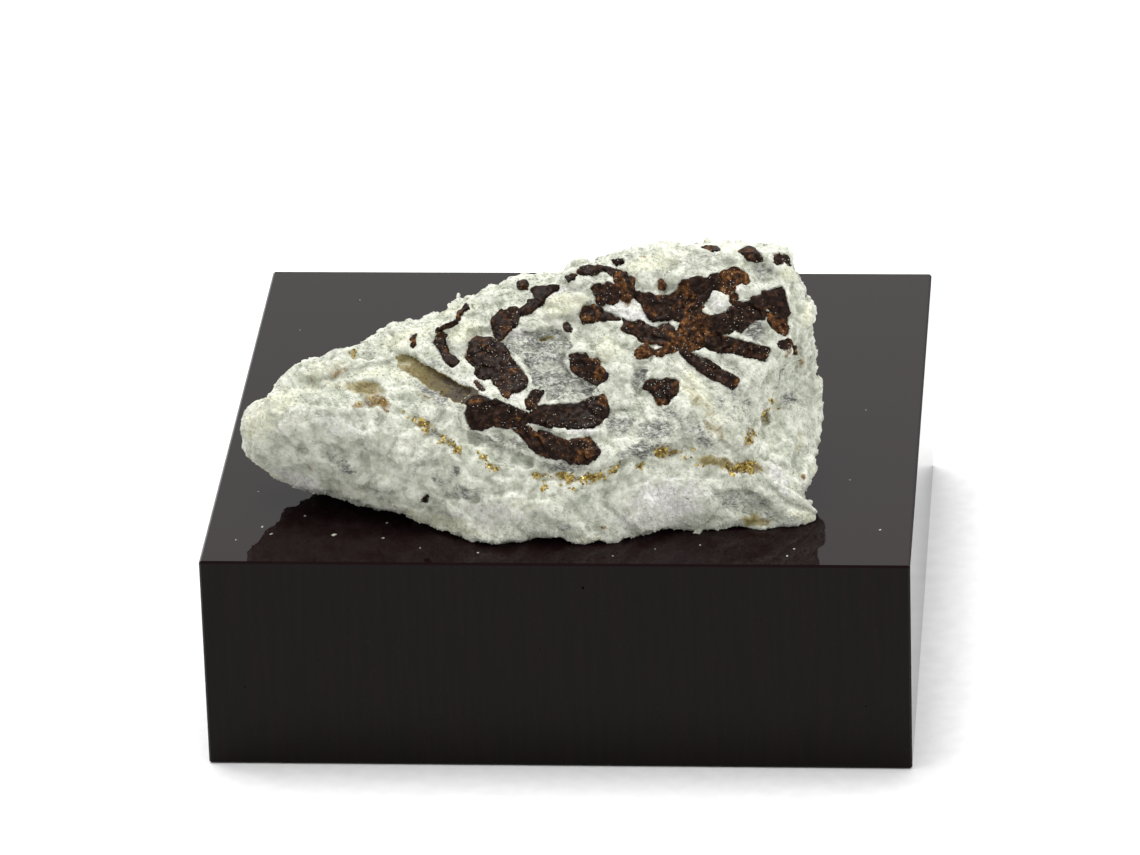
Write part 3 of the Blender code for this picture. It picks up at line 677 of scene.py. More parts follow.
TERRACES = [  # areas that lie higher or lower than the rest, each with its height in mm
    ("crystal layer", 0.5, [(396, 354), (412, 344), (437, 330), (466, 300), (530, 275), (640, 245), (704, 236),
                             (786, 245), (790, 286), (790, 340), (768, 400), (748, 425), (738, 450), (700, 438),
                             (660, 445), (620, 462), (590, 470), (545, 464), (505, 446), (480, 433), (464, 428),
                             (460, 408), (474, 392), (440, 375), (415, 360)]),
    ("knob", 0.55, [(446, 318), (462, 308), (480, 316), (492, 322), (490, 334), (476, 337), (468, 343), (462, 354),
                    (452, 352), (447, 338), (444, 326)]),
    ("ridge", 0.4, [(543, 319), (554, 309), (568, 302), (582, 298), (592, 301), (586, 306), (579, 313), (574, 319),
                    (560, 319), (545, 323)]),
    ("grey slab", -0.42, [(503, 345), (520, 331), (560, 330), (572, 345), (564, 354), (567, 368), (586, 384),
                          (602, 390), (592, 396), (545, 402), (546, 388), (532, 390), (530, 376), (515, 352)]),
    ("shelf", 0.16, [(583, 322), (612, 322), (636, 342), (637, 360), (628, 372), (612, 370), (597, 356), (585, 345)]),
    ("hollow", -0.25, [(632, 364), (655, 360), (652, 372), (641, 388), (646, 401), (634, 399), (627, 382)]),
    ("cap", 0.15, [(612, 262), (650, 247), (704, 241), (745, 250), (742, 264), (716, 270), (690, 276), (660, 288),
                   (640, 288), (632, 268)]),
    ("under the bars", -0.3, [(468, 430), (500, 430), (520, 444), (545, 460), (520, 468), (488, 458), (468, 444)]),
    ("right hollow", -0.25, [(604, 414), (636, 408), (650, 424), (640, 440), (606, 440)]),
    ("left patch", -0.2, [(347, 381), (372, 380), (383, 388), (388, 408), (370, 408), (352, 398)]),
    ("back dip", -0.35, [(356, 346), (384, 330), (398, 334), (396, 350), (376, 360), (352, 364)]),
    ("upper strip", 0.25, [(296, 374), (306, 360), (345, 347), (350, 358), (330, 370), (308, 380)]),
    ("lower lobe", 0.22, [(300, 405), (350, 412), (372, 430), (350, 446), (318, 440), (296, 446), (280, 424)]),
    ("foot bulge", 0.3, [(600, 500), (650, 478), (706, 478), (716, 505), (700, 530), (640, 530)]),
    ("slit", -0.35, [(538, 337), (552, 335), (554, 338), (540, 341)]),
]
print("steps and hollows", len(HEIGHT_MARKS) + len(TERRACES))

# %% The vein's faces, and smoother places
OLIVE_PALE, OLIVE_DARK = 0.55, 1.0  # a vein face goes from pale at its left end to dark at its right end
OLIVE_SPAN = 398, 468
OLIVE_FACES = [
    [(395, 355), (404, 353), (422, 364), (438, 371), (458, 381), (477, 391), (479, 398), (470, 405), (456, 402),
     (443, 396), (426, 386), (410, 377), (398, 368)],
]
GREY_TERRACES, TERRACE_GREY = ("grey slab",), 0.78
SMOOTH_MARKS = [  # where the break is smoother: the pointed end, the broken end, the foot and its toe
    (310, 438, 75, 42, 22, 0.45), (802, 415, 18, 75, 3, 0.55), (665, 508, 60, 26, -5, 0.5), (790, 492, 30, 12, 32, 0.5),
    (740, 500, 30, 16, 10, 0.4), (440, 500, 60, 14, 18, 0.3),
]
print("vein faces", len(OLIVE_FACES), "and smoother places", len(SMOOTH_MARKS))

# %% Looking a place up
MARK_FADE, HEIGHT_FADE = (0.4, 1.4), (0.7, 1.25)  # where marks fade out, as shares of their half width and height


def depth_in(mark, u, v):
    """How far out from the middle of a mark pixels (arrays) lie, as a share of its half width and height."""
    middle_u, middle_v, wide, high, turn, _ = mark
    cos, sin = math.cos(math.radians(turn)), math.sin(math.radians(turn))
    along = ((u - middle_u) * cos + (v - middle_v) * sin) / wide
    over = ((v - middle_v) * cos - (u - middle_u) * sin) / high
    return np.hypot(along, over)


def marked(marks, u, v):
    """How strong the strongest mark is at pixels (arrays), fading to 0 at its rim."""
    total = np.zeros(len(u))
    for mark in marks:
        total = np.maximum(total, mark[-1] * (1 - smoothstep(*MARK_FADE, depth_in(mark, u, v))))
    return total


def stepped(u, v):
    """The heights of the marks and terraces at pixels (arrays), in mm, added up."""
    height = sum(mark[-1] * (1 - smoothstep(*HEIGHT_FADE, depth_in(mark, u, v))) for mark in HEIGHT_MARKS)
    return height + sum(rise * inside(outline, u, v) for _, rise, outline in TERRACES)


def olive_at(u, v):
    """How olive the stone is at pixels (arrays): strongly on the smooth faces, less on the marks."""
    faces = sum(inside(outline, u, v) for outline in OLIVE_FACES)
    depth = OLIVE_PALE + (OLIVE_DARK - OLIVE_PALE) * smoothstep(*OLIVE_SPAN, u)
    return np.maximum(marked(OLIVE_MARKS, u, v), faces * depth)


def grey_at(u, v):
    """How grey and glassy the stone is at pixels (arrays): strongly on some of the terraces."""
    slabs = sum(inside(outline, u, v) for name, _, outline in TERRACES if name in GREY_TERRACES)
    return np.maximum(marked(GREY_MARKS, u, v), slabs * TERRACE_GREY)


# %% [markdown]
# A mark belongs only to points that the camera sees: those that face it and that a ray from the eye reaches first.
# Those under a crystal, or next to one, are found too, because the rock is lower and smoother there.

# %% Which points show, and where
FACING_LEAST = 0.05  # how far a point's normal has to turn to the eye
VIEW_SLACK = 0.6 * MM  # how much rock may lie in front of a point that still counts as seen
WANDER_SIZE, WANDER = 0.8 * MM, 4.0  # the size of the wandering, and how many pixels it reaches
CRYSTAL_MARGIN = 5.0  # pixels within which the rock evens out towards a crystal


def in_view(points, normals):
    """Which points the camera sees, and their pixels."""
    facing = normals @ np.array(BACK) > FACING_LEAST
    first = np.array([rock_form.ray_cast(EYE, (Vector(p) - EYE).normalized())[3] or 0.0 for p in points])
    away = np.linalg.norm(points - np.array(EYE), axis=1)
    return facing & (first > away - VIEW_SLACK), *pixels_of(points)


def wandering(points, u, v):
    """The pixels, each pushed a little aside by noise."""
    push = np.array([noise.noise_vector(Vector(p) / WANDER_SIZE) for p in points]) * WANDER
    return u + push[:, 0], v + push[:, 1]


def near_crystals(u, v):
    """Which pixels (arrays) lie on a crystal, and how close the others are: 1 at its rim, 0 beyond the margin."""
    covered, close = np.zeros(len(u), dtype=bool), np.zeros(len(u))
    for group in OUTLINES.values():
        for _, _, outline in group:
            corners = np.array(outline, dtype=float)
            low, high = corners.min(axis=0) - CRYSTAL_MARGIN, corners.max(axis=0) + CRYSTAL_MARGIN
            there = np.nonzero((u > low[0]) & (u < high[0]) & (v > low[1]) & (v < high[1]))[0]
            covered[there] |= inside(outline, u[there], v[there])
            for start, end in zip(corners, np.roll(corners, -1, axis=0)):
                way = way_to_edge(u[there], v[there], start, end)
                close[there] = np.maximum(close[there], 1 - np.hypot(*way) / CRYSTAL_MARGIN)
    return covered, close


# %% [markdown]
# ## Broken rock
# A fracture through sugary rock has relief at every size: lumps of a few millimetres, chips with flat tops and steep
# rims, rounded swellings with sharp creases between them, like those of a cauliflower, and single grains. Each is a
# noise of its own size, pushed along the normals of a dense skin, and the larger steps come from the marks. Under
# the crystals the skin is lowered instead, so nothing pokes through them. The olive faces and the glassy patches
# broke smoother, so the relief is weaker there.

# %% Relief
LUMP, CHIP, SMALL_CHIP, SWELLING, SMALL_SWELLING, GRAIN = (s * MM for s in (3.4, 1.6, 0.8, 1.9, 0.8, 0.33))
LUMP_HEIGHT, CHIP_HEIGHT, SMALL_CHIP_HEIGHT = 0.26 * MM, 0.17 * MM, 0.07 * MM
SWELLING_HEIGHT, SMALL_SWELLING_HEIGHT, GRAIN_HEIGHT = 0.45 * MM, 0.13 * MM, 0.04 * MM
LUMP_FALLOFF, LUMP_FINER, LUMP_LAYERS = 0.9, 2.1, 3
CHIP_BEND = 0.5 * MM  # how far the edges of chips are bent
SMALLER_CHIPS_SHIFT = 1.1  # so that small chips don't follow the large ones
CREASE_LEVEL = 0.2  # the noise level that lies level with the skin, with creases below it
CHIP_STEEPNESS = 4.0
DRAW, OTHER_DRAW = 7.31, 3.7  # these stretch the centres of cells, so that neighbours draw unlike numbers


def chipped(point, size):
    """Flat-topped chips: each cell of a Voronoi pattern has its own height, from -1 to 1, with steep rims."""
    distances, centres = noise.voronoi(point / size)
    return noise.cell(centres[0] * DRAW) * min(1.0, (distances[1] - distances[0]) * CHIP_STEEPNESS)


def relief_at(point):
    """Height in metres of the broken surface at a point, before smoother places are evened out."""
    warped = point + noise.noise_vector(point / LUMP) * CHIP_BEND
    height = noise.fractal(point / LUMP, LUMP_FALLOFF, LUMP_FINER, LUMP_LAYERS) * LUMP_HEIGHT
    height += chipped(warped, CHIP) * CHIP_HEIGHT
    height += chipped(warped * SMALLER_CHIPS_SHIFT, SMALL_CHIP) * SMALL_CHIP_HEIGHT
    height += (abs(noise.noise(warped / SWELLING)) - CREASE_LEVEL) * SWELLING_HEIGHT
    height += (abs(noise.noise(point / SMALL_SWELLING)) - CREASE_LEVEL) * SMALL_SWELLING_HEIGHT
    return height + noise.noise(point / GRAIN) * GRAIN_HEIGHT


print("relief has six sizes, from", GRAIN / MM, "to", LUMP / MM, "mm")

# %% [markdown]
# The finest skin has far more triangles than a piece may have, so it is thinned, more on the far side than where the
# photograph shows it. Thinning can leave two faces on the same three corners, or an edge with one or three faces. All
# faces round such a place are cut out, and the hole is filled. Loose specks, a few triangles each, go as well.

# %% Thinning and mending
STONE_TRIANGLES = 197000
SHOWN_THINNING = 0.35  # how strongly the side that shows is thinned, beside 1 for the far side


def fewer_triangles(mesh, rear):
    """The mesh thinned to its triangle limit, more where rear (an array) is true."""
    ratio = STONE_TRIANGLES / (2 * len(mesh.polygons))
    weights = [(rear, 1.0), (~rear, SHOWN_THINNING)]
    return modified(mesh, "DECIMATE", weights, ratio=ratio, vertex_group="weighted")


def mended(mesh):
    """The mesh with each place that thinning spoilt cut out and filled again: twin faces, and edges of a torn skin."""
    bm = bmesh_of(mesh)
    bmesh.ops.triangulate(bm, faces=bm.faces)
    corners = [tuple(sorted(vert.index for vert in face.verts)) for face in bm.faces]
    twins = Counter(corners)
    spoilt = {index for key in corners if twins[key] > 1 for index in key}
    spoilt |= {vert.index for edge in bm.edges if not edge.is_manifold for vert in edge.verts}
    cut = [face for face, key in zip(bm.faces, corners) if any(index in spoilt for index in key)]
    bmesh.ops.delete(bm, geom=cut, context="FACES")
    bmesh.ops.holes_fill(bm, edges=[edge for edge in bm.edges if edge.is_boundary], sides=0)
    bmesh.ops.triangulate(bm, faces=bm.faces)
    torn = sum(not edge.is_manifold for edge in bm.edges)
    bm.to_mesh(mesh)
    bm.free()
    print("faces cut out", len(cut), "torn edges left", torn, "twins left", mesh.validate())
    return mesh


# %% Steps, then relief, on the stone
UNDER_CRYSTAL = 0.3 * MM
BESIDE_CRYSTAL = 0.5  # how far the relief is evened out at a crystal's rim
OLIVE_SMOOTH, OLIVE_SMOOTH_MOST, GREY_SMOOTH = 1.7, 0.95, 0.4
BOX_MARGIN = 0.02 * MM

points, normals = points_of(rock), normals_of(rock)
shown, u, v = in_view(points, normals)
u, v = wandering(points, u, v)
points += normals * (stepped(u, v) * MM * shown)[:, None]
move_points(rock, points)
rock = remeshed(rock, ROCK_VOXEL)
rock_form = tree_of(rock)

points, normals = points_of(rock), normals_of(rock)
shown, u, v = in_view(points, normals)
covered, close = near_crystals(u, v)
u, v = wandering(points, u, v)
evened = np.minimum(olive_at(u, v) * OLIVE_SMOOTH, OLIVE_SMOOTH_MOST)
evened = np.maximum(evened, np.minimum(grey_at(u, v), 1) * GREY_SMOOTH)
evened = np.maximum(evened, marked(SMOOTH_MARKS, u, v)) * shown
height = np.array([relief_at(Vector(p)) for p in points]) * (1 - evened)
height *= 1 - BESIDE_CRYSTAL * close * shown
height = np.where(covered & shown, -UNDER_CRYSTAL, height)
points += normals * height[:, None]
points[:, 2] = np.maximum(points[:, 2], BLOCK_TOP)
low, high = (np.array(corner) for corner in cad_bounds)
move_points(rock, np.clip(points, low + BOX_MARGIN, high - BOX_MARGIN))
print("relief from", round(height.min() / MM, 2), "to", round(height.max() / MM, 2), "mm")
rock = without_specks(mended(fewer_triangles(rock, ~shown)))
rock.shade_smooth()
print("the stone has", len(rock.polygons), "triangles")

# %% Marks on the finished skin
points, normals = points_of(rock), normals_of(rock)
shown, u, v = in_view(points, normals)
covered, _ = near_crystals(u, v)
covered &= shown
u, v = wandering(points, u, v)
marks = {"grey": grey_at(u, v), "olive": olive_at(u, v)}
for name, soft in (("cream", CREAM_MARKS), ("white", WHITE_MARKS), ("stain", STAIN_MARKS), ("seam", SEAM_MARKS)):
    marks[name] = marked(soft, u, v)
print("points that show", int(shown.sum()), "of", len(points))

# %% [markdown]
# The far side isn't in the photograph, so its patches of grey, cream and stain come from noise, and the mica seam
# goes on through the stone as a wavy, slanting line. How hollow each point lies, from how far it moves when the skin
# is relaxed, sets painted shade that makes the creases darker and greener, and painted light that makes the crests
# whiter.

# %% The far side, and the hollows
REAR_PATCHES = {"grey": (2.6, 3, 0.2, 0.75), "cream": (4.2, 9, 0.14, 0.7), "white": (3.4, 23, 0.14, 0.6),
                "stain": (1.9, 17, 0.36, 0.85), "olive": (2.4, 31, 0.42, 0.5)}  # size in mm, place, level, strength
REAR_FADE = 0.3
REAR_SEAM, SEAM_SLANT = BLOCK_TOP + 6 * MM, 0.12
SEAM_BEND, SEAM_BEND_SIZE = 1.1 * MM, 5 * MM
SEAM_HALF, SEAM_CORE, SEAM_BREAK = 0.28 * MM, 0.1, 1.7 * MM
BEHIND_TURN = -0.2  # the seam of the far side keeps to points that turn at least this far from the eye
HOLLOW_ROUNDS, HOLLOW_DEPTH = 8, 0.1 * MM

for name, (size, place, level, strength) in REAR_PATCHES.items():
    drift = noise_over(points, size * MM, place)
    marks[name] = np.where(shown, marks[name], smoothstep(level, level + REAR_FADE, drift) * strength)
bend = noise_over(points, SEAM_BEND_SIZE) * SEAM_BEND
off_seam = np.abs(points[:, 2] - REAR_SEAM - points[:, 0] * SEAM_SLANT - bend)
behind = (normals @ np.array(BACK) < BEHIND_TURN) & (noise_over(points, SEAM_BREAK) > 0)
rear_seam = behind * smoothstep(SEAM_HALF, SEAM_CORE * SEAM_HALF, off_seam)
marks["seam"] = np.where(shown, marks["seam"], rear_seam)
# how hollow each point lies, which the rock's material turns into painted shade in the creases and painted light on the
# crests
sunk = relaxed(points, edges_of(rock), np.ones(len(points), dtype=bool), HOLLOW_ROUNDS) - points
marks["hollow"] = np.clip((sunk * normals).sum(axis=1) / HOLLOW_DEPTH, -1, 1)
for name, values in marks.items():
    paint(rock, name, values)
print("points that lie hollow", int((marks["hollow"] > 0).sum()))

# %% [markdown]
# ## Sugary rock
# The matrix is albite and fine mica: colourless grains of a fifth of a millimetre, which scatter light like lump
# sugar. It reads as white with pale green and cream, and where the grains are clearer and drawn out into fibres it
# looks grey. The colour lays noises of three sizes over each other and then one tint for each painted mark, with a
# broken edge. The middle noise is darker where the skin lies hollow and lighter on the crests: painted shade and
# painted light. Some light passes under the surface, and a fine bump gives the grains their edges.

# %% Material: sugary schist
SUGAR_GRAIN, SUGAR_CLOUD, SUGAR_MOTTLE, SUGAR_FLECK, SUGAR_EDGE = 0.2, 2.6, 0.8, 0.26, 0.9  # sizes in mm
# how far hollows are darkened and crests lightened in the rock's colour: painted shade and painted light
HOLLOW_SHADE = 0.09
TINT_BREAK, OLIVE_BREAK = 2.6, 1.0  # how far noise breaks the edge of a tint
FIBRE_TURN = math.radians(28)
TINTS = {
    "cream": [(0.36, "#C3C3AA"), (0.50, "#D1D1BB"), (0.64, "#DEDFCF")],
    "white": [(0.36, "#BDBBB4"), (0.50, "#D0CFCA"), (0.64, "#E2E1DD")],
    "grey": [(0.38, "#4C4D47"), (0.50, "#777871"), (0.64, "#BEBFB7")],
    "stain": [(0.36, "#5F4620"), (0.50, "#7F6337"), (0.64, "#A08A58")],
    "seam": [(0.36, "#5D4E25"), (0.50, "#7D7042"), (0.64, "#ABA273")],
    "olive": [(0.50, "#877C50"), (0.66, "#63572C"), (0.80, "#5B4F27"), (0.97, "#342817")],
}
TINT_EDGES = {"cream": (0.2, 0.9), "white": (0.2, 0.9), "grey": (0.25, 1.0), "stain": (0.45, 1.2), "seam": (0.35, 1.3),
              "olive": (0.1, 0.6)}


def per_metre(size):
    """The scale of a pattern whose features are that many mm across."""
    return 1 / (size * MM)


def sugary_schist(name):
    material = new_material(name)
    shader = shader_of(material)
    place = add_node(material, "TexCoord").outputs["Object"]
    big, middle, small = (
        add_node(material, "TexNoise", Vector=place, Scale=per_metre(size), Detail=4.0, Roughness=0.6).outputs["Fac"]
        for size in (SUGAR_CLOUD, SUGAR_MOTTLE, SUGAR_FLECK))
    along = add_node(material, "Mapping", Vector=place, Rotation=(0.0, FIBRE_TURN, 0.0), Scale=(0.5, 1.0, 1.4))
    fibres = add_node(material, "TexNoise", Vector=along.outputs[0], Scale=per_metre(SUGAR_FLECK), Detail=3.0,
                      Roughness=0.6, Distortion=1.3).outputs["Fac"]
    hollow = add_node(material, "Attribute", {"attribute_name": "hollow"}).outputs["Fac"]
    # painted shade and light: the middle mottle is darker where the skin lies hollow and lighter on the crests
    mottle_with_crease_shade = add_node(material, "Math", {"operation": "MULTIPLY_ADD"}, i0=hollow, i1=-HOLLOW_SHADE,
                       i2=middle).outputs[0]
    base = add_node(material, "ValToRGB", {"stops": [(0.38, "#A3A795"), (0.50, "#BFC2AF"), (0.62, "#D8D8CA")]},
                    Fac=big).outputs[0]
    clots_and_crease_shade = add_node(material, "ValToRGB", {"stops": [(0.36, "#8A8E7E"), (0.47, "#B3B6A5"), (0.60, "#DFE0D5")]},
                     Fac=mottle_with_crease_shade).outputs[0]
    fleck = add_node(material, "ValToRGB", {"stops": [(0.38, "#A2A598"), (0.50, "#BEC1B4"), (0.62, "#D9DAD0")]},
                     Fac=small).outputs[0]
    ragged = add_node(material, "TexNoise", Vector=place, Scale=per_metre(SUGAR_EDGE), Detail=6.0, Roughness=0.72,
                      Distortion=0.6).outputs["Fac"]
    layers = [(0.6, clots_and_crease_shade), (0.22, fleck)]
    for mark, stops in TINTS.items():
        reach = OLIVE_BREAK if mark == "olive" else TINT_BREAK
        edge = add_node(material, "Math", {"operation": "MULTIPLY_ADD"}, i0=ragged, i1=reach, i2=-reach / 2)
        painted = add_node(material, "Attribute", {"attribute_name": mark})
        broken = add_node(material, "Math", {"operation": "ADD"}, i0=painted.outputs["Fac"], i1=edge.outputs[0])
        tone = {"grey": fibres, "olive": broken.outputs[0]}.get(mark, small)
        tint = add_node(material, "ValToRGB", {"stops": stops}, Fac=tone)
        low, high = TINT_EDGES[mark]
        share = add_node(material, "MapRange", {"interpolation_type": "SMOOTHSTEP"}, Value=broken.outputs[0],
                         From_Min=low, From_Max=high)
        layers.append((share.outputs[0], tint.outputs[0]))
    colour = base
    for share, layer in layers:
        colour = add_node(material, "Mix", {"data_type": "RGBA"}, i0=share, i6=colour, i7=layer).outputs[2]
    link(material, colour, "Base Color")

    cells = add_node(material, "TexVoronoi", {"feature": "F1"}, Vector=place, Scale=per_metre(SUGAR_GRAIN))
    grains = add_node(material, "Bump", Height=cells.outputs["Distance"], Distance=0.08 * MM, Strength=0.5)
    shader.inputs["Subsurface Weight"].default_value = 0.2
    shader.inputs["Subsurface Radius"].default_value = (1.0, 1.0, 0.9)
    shader.inputs["Subsurface Scale"].default_value = 0.4 * MM
    shader.inputs["Roughness"].default_value = 0.6
    shader.inputs["IOR"].default_value = 1.53
    shader.inputs["Specular IOR Level"].default_value = 0.35
    link(material, grains.outputs["Normal"], "Normal")
    return material


SUGAR = sugary_schist("sugary_albite_schist")
new_piece("matrix_stone", rock, SUGAR, "matrix_rock", "matrix_rock")
print(SUGAR.name, len(SUGAR.node_tree.nodes), "nodes")

# %% [markdown]
# ## Crystals
# Each outline is followed back to the stone along the lines of sight, which gives the ring where crystal and rock
# meet. From that ring the crystal is extruded down into the rock and up a little way, its rim drawn in. A fine voxel
# skin joins those that touch, and is then cleaved into little tilted planes, with steep steps between them, like
# the top of a prism that has been split across. Edges sharper than a set angle are marked sharp, so they stay crisp.

# %% Crystals from their outlines
CRYSTAL_RISE, CRYSTAL_SINK = 0.16 * MM, 0.9 * MM
CRYSTAL_RIM = 0.985  # the share of its width that a crystal's top keeps
CRYSTAL_VOXEL = 0.078 * MM
PLANE, PLANE_HEIGHT, PLANE_TILT = 1.05 * MM, 0.07 * MM, 0.12 * MM
SPLINTER, SPLINTER_HEIGHT = 0.3 * MM, 0.03 * MM
RUSTY_GRAIN, RUSTY_GRAIN_HEIGHT, RUSTY_GRAIN_LEVEL = 0.48 * MM, 0.2 * MM, 0.6
RAGGED, RAGGED_REACH = 0.45 * MM, 0.07 * MM
RUST_MARKS = [  # as the marks on the rock
    (513, 372, 6, 5, 0, 0.9), (507, 394, 5, 5, 0, 1.0), (468, 356, 4, 12, 10, 0.7), (498, 338, 8, 5, 0, 0.8),
    (602, 402, 6, 7, 0, 0.9), (602, 418, 5, 6, 0, 0.7), (475, 402, 8, 4, 0, 0.7), (736, 381, 4, 5, 0, 1.0),
    (600, 376, 8, 9, 0, 0.85), (592, 360, 5, 4, 0, 0.6), (586, 458, 14, 6, 0, 0.85), (572, 446, 8, 6, 0, 0.6),
    (548, 456, 10, 4, 10, 0.6), (662, 402, 10, 4, 0, 1.0), (676, 386, 5, 8, 0, 0.75), (530, 402, 4, 6, 0, 0.7),
    (727, 336, 8, 3, 0, 0.6), (766, 352, 4, 4, 0, 0.5), (534, 428, 7, 4, 0, 0.6), (764, 306, 4, 8, 0, 0.6),
]
CRYSTAL_SHARP = math.radians(32)
INSIDE_SHARE = 0.2  # a point inside a crystal's outline counts as that much nearer to it than to the others
LOWER_STEP = 1.0  # pixels by which a line of sight that passes over the crest is lowered, until it meets the stone
FAR_APART = 2.5  # a point this many times further away than it looks lies on another part of the stone


def ring_on_stone(outline):
    """Where the outline lies on the stone, and the way that the stone faces there."""
    middle_u = sum(u for u, _ in outline) / len(outline)
    middle_v = sum(v for _, v in outline) / len(outline)
    middle = None
    while middle is None:
        middle, facing, _, _ = rock_form.ray_cast(EYE, sight_line(middle_u, middle_v))
        middle_v += LOWER_STEP
    hits = []
    for u, v in outline:
        line = sight_line(u, v)
        hit, normal, _, _ = rock_form.ray_cast(EYE, line)
        looks = math.hypot(u - middle_u, v - middle_v) / PIXELS_PER_MM * MM
        if hit is not None and (hit - middle).length < FAR_APART * looks:
            facing = facing + normal
        else:
            hit = None
        hits.append((line, hit))
    facing.normalize()
    level = (facing + BACK).normalized()
    return [hit or EYE + line * ((middle - EYE).dot(level) / line.dot(level)) for line, hit in hits], facing


def crystal_block(bm, outline):
    """The crystal as a plain block in bm: its ring pulled down into the rock and up to a slightly smaller top."""
    ring, facing = ring_on_stone(outline)
    face = bm.faces.new([bm.verts.new(point - facing * CRYSTAL_SINK) for point in ring])
    for lift, share in ((CRYSTAL_SINK, 1.0), (CRYSTAL_RISE, CRYSTAL_RIM)):
        grown = bmesh.ops.extrude_face_region(bm, geom=[face])["geom"]
        top = [item for item in grown if isinstance(item, bmesh.types.BMVert)]
        face = next(item for item in grown if isinstance(item, bmesh.types.BMFace))
        middle = sum((vert.co for vert in top), Vector()) / len(top)
        for vert in top:
            vert.co = middle.lerp(vert.co, share) + facing * lift


def cleaved_at(point):
    """Height of a surface cleaved into little planes, each at its own level and tilted its own way."""
    distances, centres = noise.voronoi(point / PLANE)
    tilt = noise.cell_vector(centres[0] * DRAW) * 2 - Vector((1, 1, 1))
    height = noise.cell(centres[0] * OTHER_DRAW) * PLANE_HEIGHT + (point / PLANE - centres[0]).dot(tilt) * PLANE_TILT
    return height + chipped(point, SPLINTER) * SPLINTER_HEIGHT


def crumbly_at(point):
    """Height of a weathered, rusty surface: a heap of rounded grains."""
    distances, _ = noise.voronoi(point / RUSTY_GRAIN)
    return (RUSTY_GRAIN_LEVEL - distances[0]) * RUSTY_GRAIN_HEIGHT


def crystal_skin(group):
    """One mesh for a group of crystals, cleaved and crumbly, with how rusty each point is painted on it."""
    bm = bmesh.new()
    for _, _, outline in group:
        crystal_block(bm, outline)
    bmesh.ops.triangulate(bm, faces=bm.faces)
    bmesh.ops.recalc_face_normals(bm, faces=bm.faces)
    mesh = without_specks(remeshed(mesh_from(bm, "crystals"), CRYSTAL_VOXEL))
    points, normals = points_of(mesh), normals_of(mesh)
    u, v = pixels_of(points)
    rust, nearest = np.zeros(len(points)), np.full(len(points), np.inf)
    for _, rusty, outline in group:
        corners = np.array(outline, dtype=float)
        far = np.hypot(u - corners[:, 0].mean(), v - corners[:, 1].mean())
        far = np.where(inside(outline, u, v), far * INSIDE_SHARE, far)
        rust = np.where(far < nearest, rusty, rust)
        nearest = np.minimum(far, nearest)
    rust = np.maximum(rust, marked(RUST_MARKS, u, v))
    height = np.array([cleaved_at(Vector(p)) + crumbly_at(Vector(p)) * r for p, r in zip(points, rust)])
    aside = np.array([noise.noise_vector(Vector(p) / RAGGED) for p in points]) * RAGGED_REACH
    points += normals * height[:, None] + aside
    points[:, 2] = np.clip(points[:, 2], BLOCK_TOP, cad_bounds[1][2])
    move_points(mesh, points)
    mesh.shade_smooth()
    mesh.set_sharp_from_angle(angle=CRYSTAL_SHARP)
    paint(mesh, "rust", rust)
    return mesh


# %% [markdown]
# ## Crystal finish
# Split crystals are glassy and almost black, with a purple-brown body colour. Where iron has weathered they carry a
# dull, ochre to red-brown crust in patches. One noise breaks the painted rustiness into such patches, and the same
# patches set how rough the surface is. In the photograph only small glints show, so the specular level is low.

# %% Material: dark crystal with rust
RUST_PATCH, CRYSTAL_TONE = 0.85, 0.36  # sizes in mm
RUST_BREAK, RUST_LEVEL = 3.4, -1.8


def dark_crystal(name):
    material = new_material(name)
    place = add_node(material, "TexCoord").outputs["Object"]
    patches = add_node(material, "TexNoise", Vector=place, Scale=per_metre(RUST_PATCH), Detail=5.0, Roughness=0.68)
    painted = add_node(material, "Attribute", {"attribute_name": "rust"}).outputs["Fac"]
    edge = add_node(material, "Math", {"operation": "MULTIPLY_ADD"}, i0=patches.outputs["Fac"],
                    i1=RUST_BREAK, i2=RUST_LEVEL).outputs[0]
    rusty = add_node(material, "Math", {"operation": "ADD"}, i0=painted, i1=edge).outputs[0]
    rusty = add_node(material, "MapRange", {"interpolation_type": "SMOOTHSTEP"}, Value=rusty, From_Min=0.35,
                     From_Max=0.8).outputs[0]
    tone = add_node(material, "TexNoise", Vector=place, Scale=per_metre(CRYSTAL_TONE), Detail=5.0, Roughness=0.68)
    body = add_node(material, "ValToRGB", {"stops": [(0.38, "#100805"), (0.52, "#1F130D"), (0.68, "#442E22")]},
                    Fac=tone.outputs["Fac"]).outputs[0]
    crust = add_node(material, "ValToRGB", {"stops": [(0.38, "#1B1009"), (0.52, "#462C18"), (0.67, "#855B33")]},
                     Fac=tone.outputs["Fac"]).outputs[0]
    colour = add_node(material, "Mix", {"data_type": "RGBA"}, i0=rusty, i6=body, i7=crust).outputs[2]
    link(material, colour, "Base Color")
    rough = add_node(material, "MapRange", Value=rusty, To_Min=0.4, To_Max=0.8).outputs[0]
    link(material, rough, "Roughness")
    bump = add_node(material, "Bump", Height=tone.outputs["Fac"], Distance=0.05 * MM, Strength=0.6)
    link(material, bump.outputs["Normal"], "Normal")
    shader_of(material).inputs["IOR"].default_value = 1.6
    shader_of(material).inputs["Specular IOR Level"].default_value = 0.06
    return material


DARK = dark_crystal("dark_vitreous_crystal")
crystal_meshes = {node: crystal_skin(group) for node, group in OUTLINES.items()}
for node, mesh in crystal_meshes.items():
    new_piece(node.replace("crystal_", "") + "_crystals", mesh, DARK, "dark_crystal", node)
    print(node, 2 * len(mesh.polygons), "triangles")

# %% [markdown]
# ## Thousands of grains
# Sugar grains and mica flakes are too many to place one by one. A small Geometry Nodes tree scatters copies of one
# low shape over a skin, more of them where a painted number is high, turns and sizes each at random, and realizes
# them. The result is kept as a plain mesh.

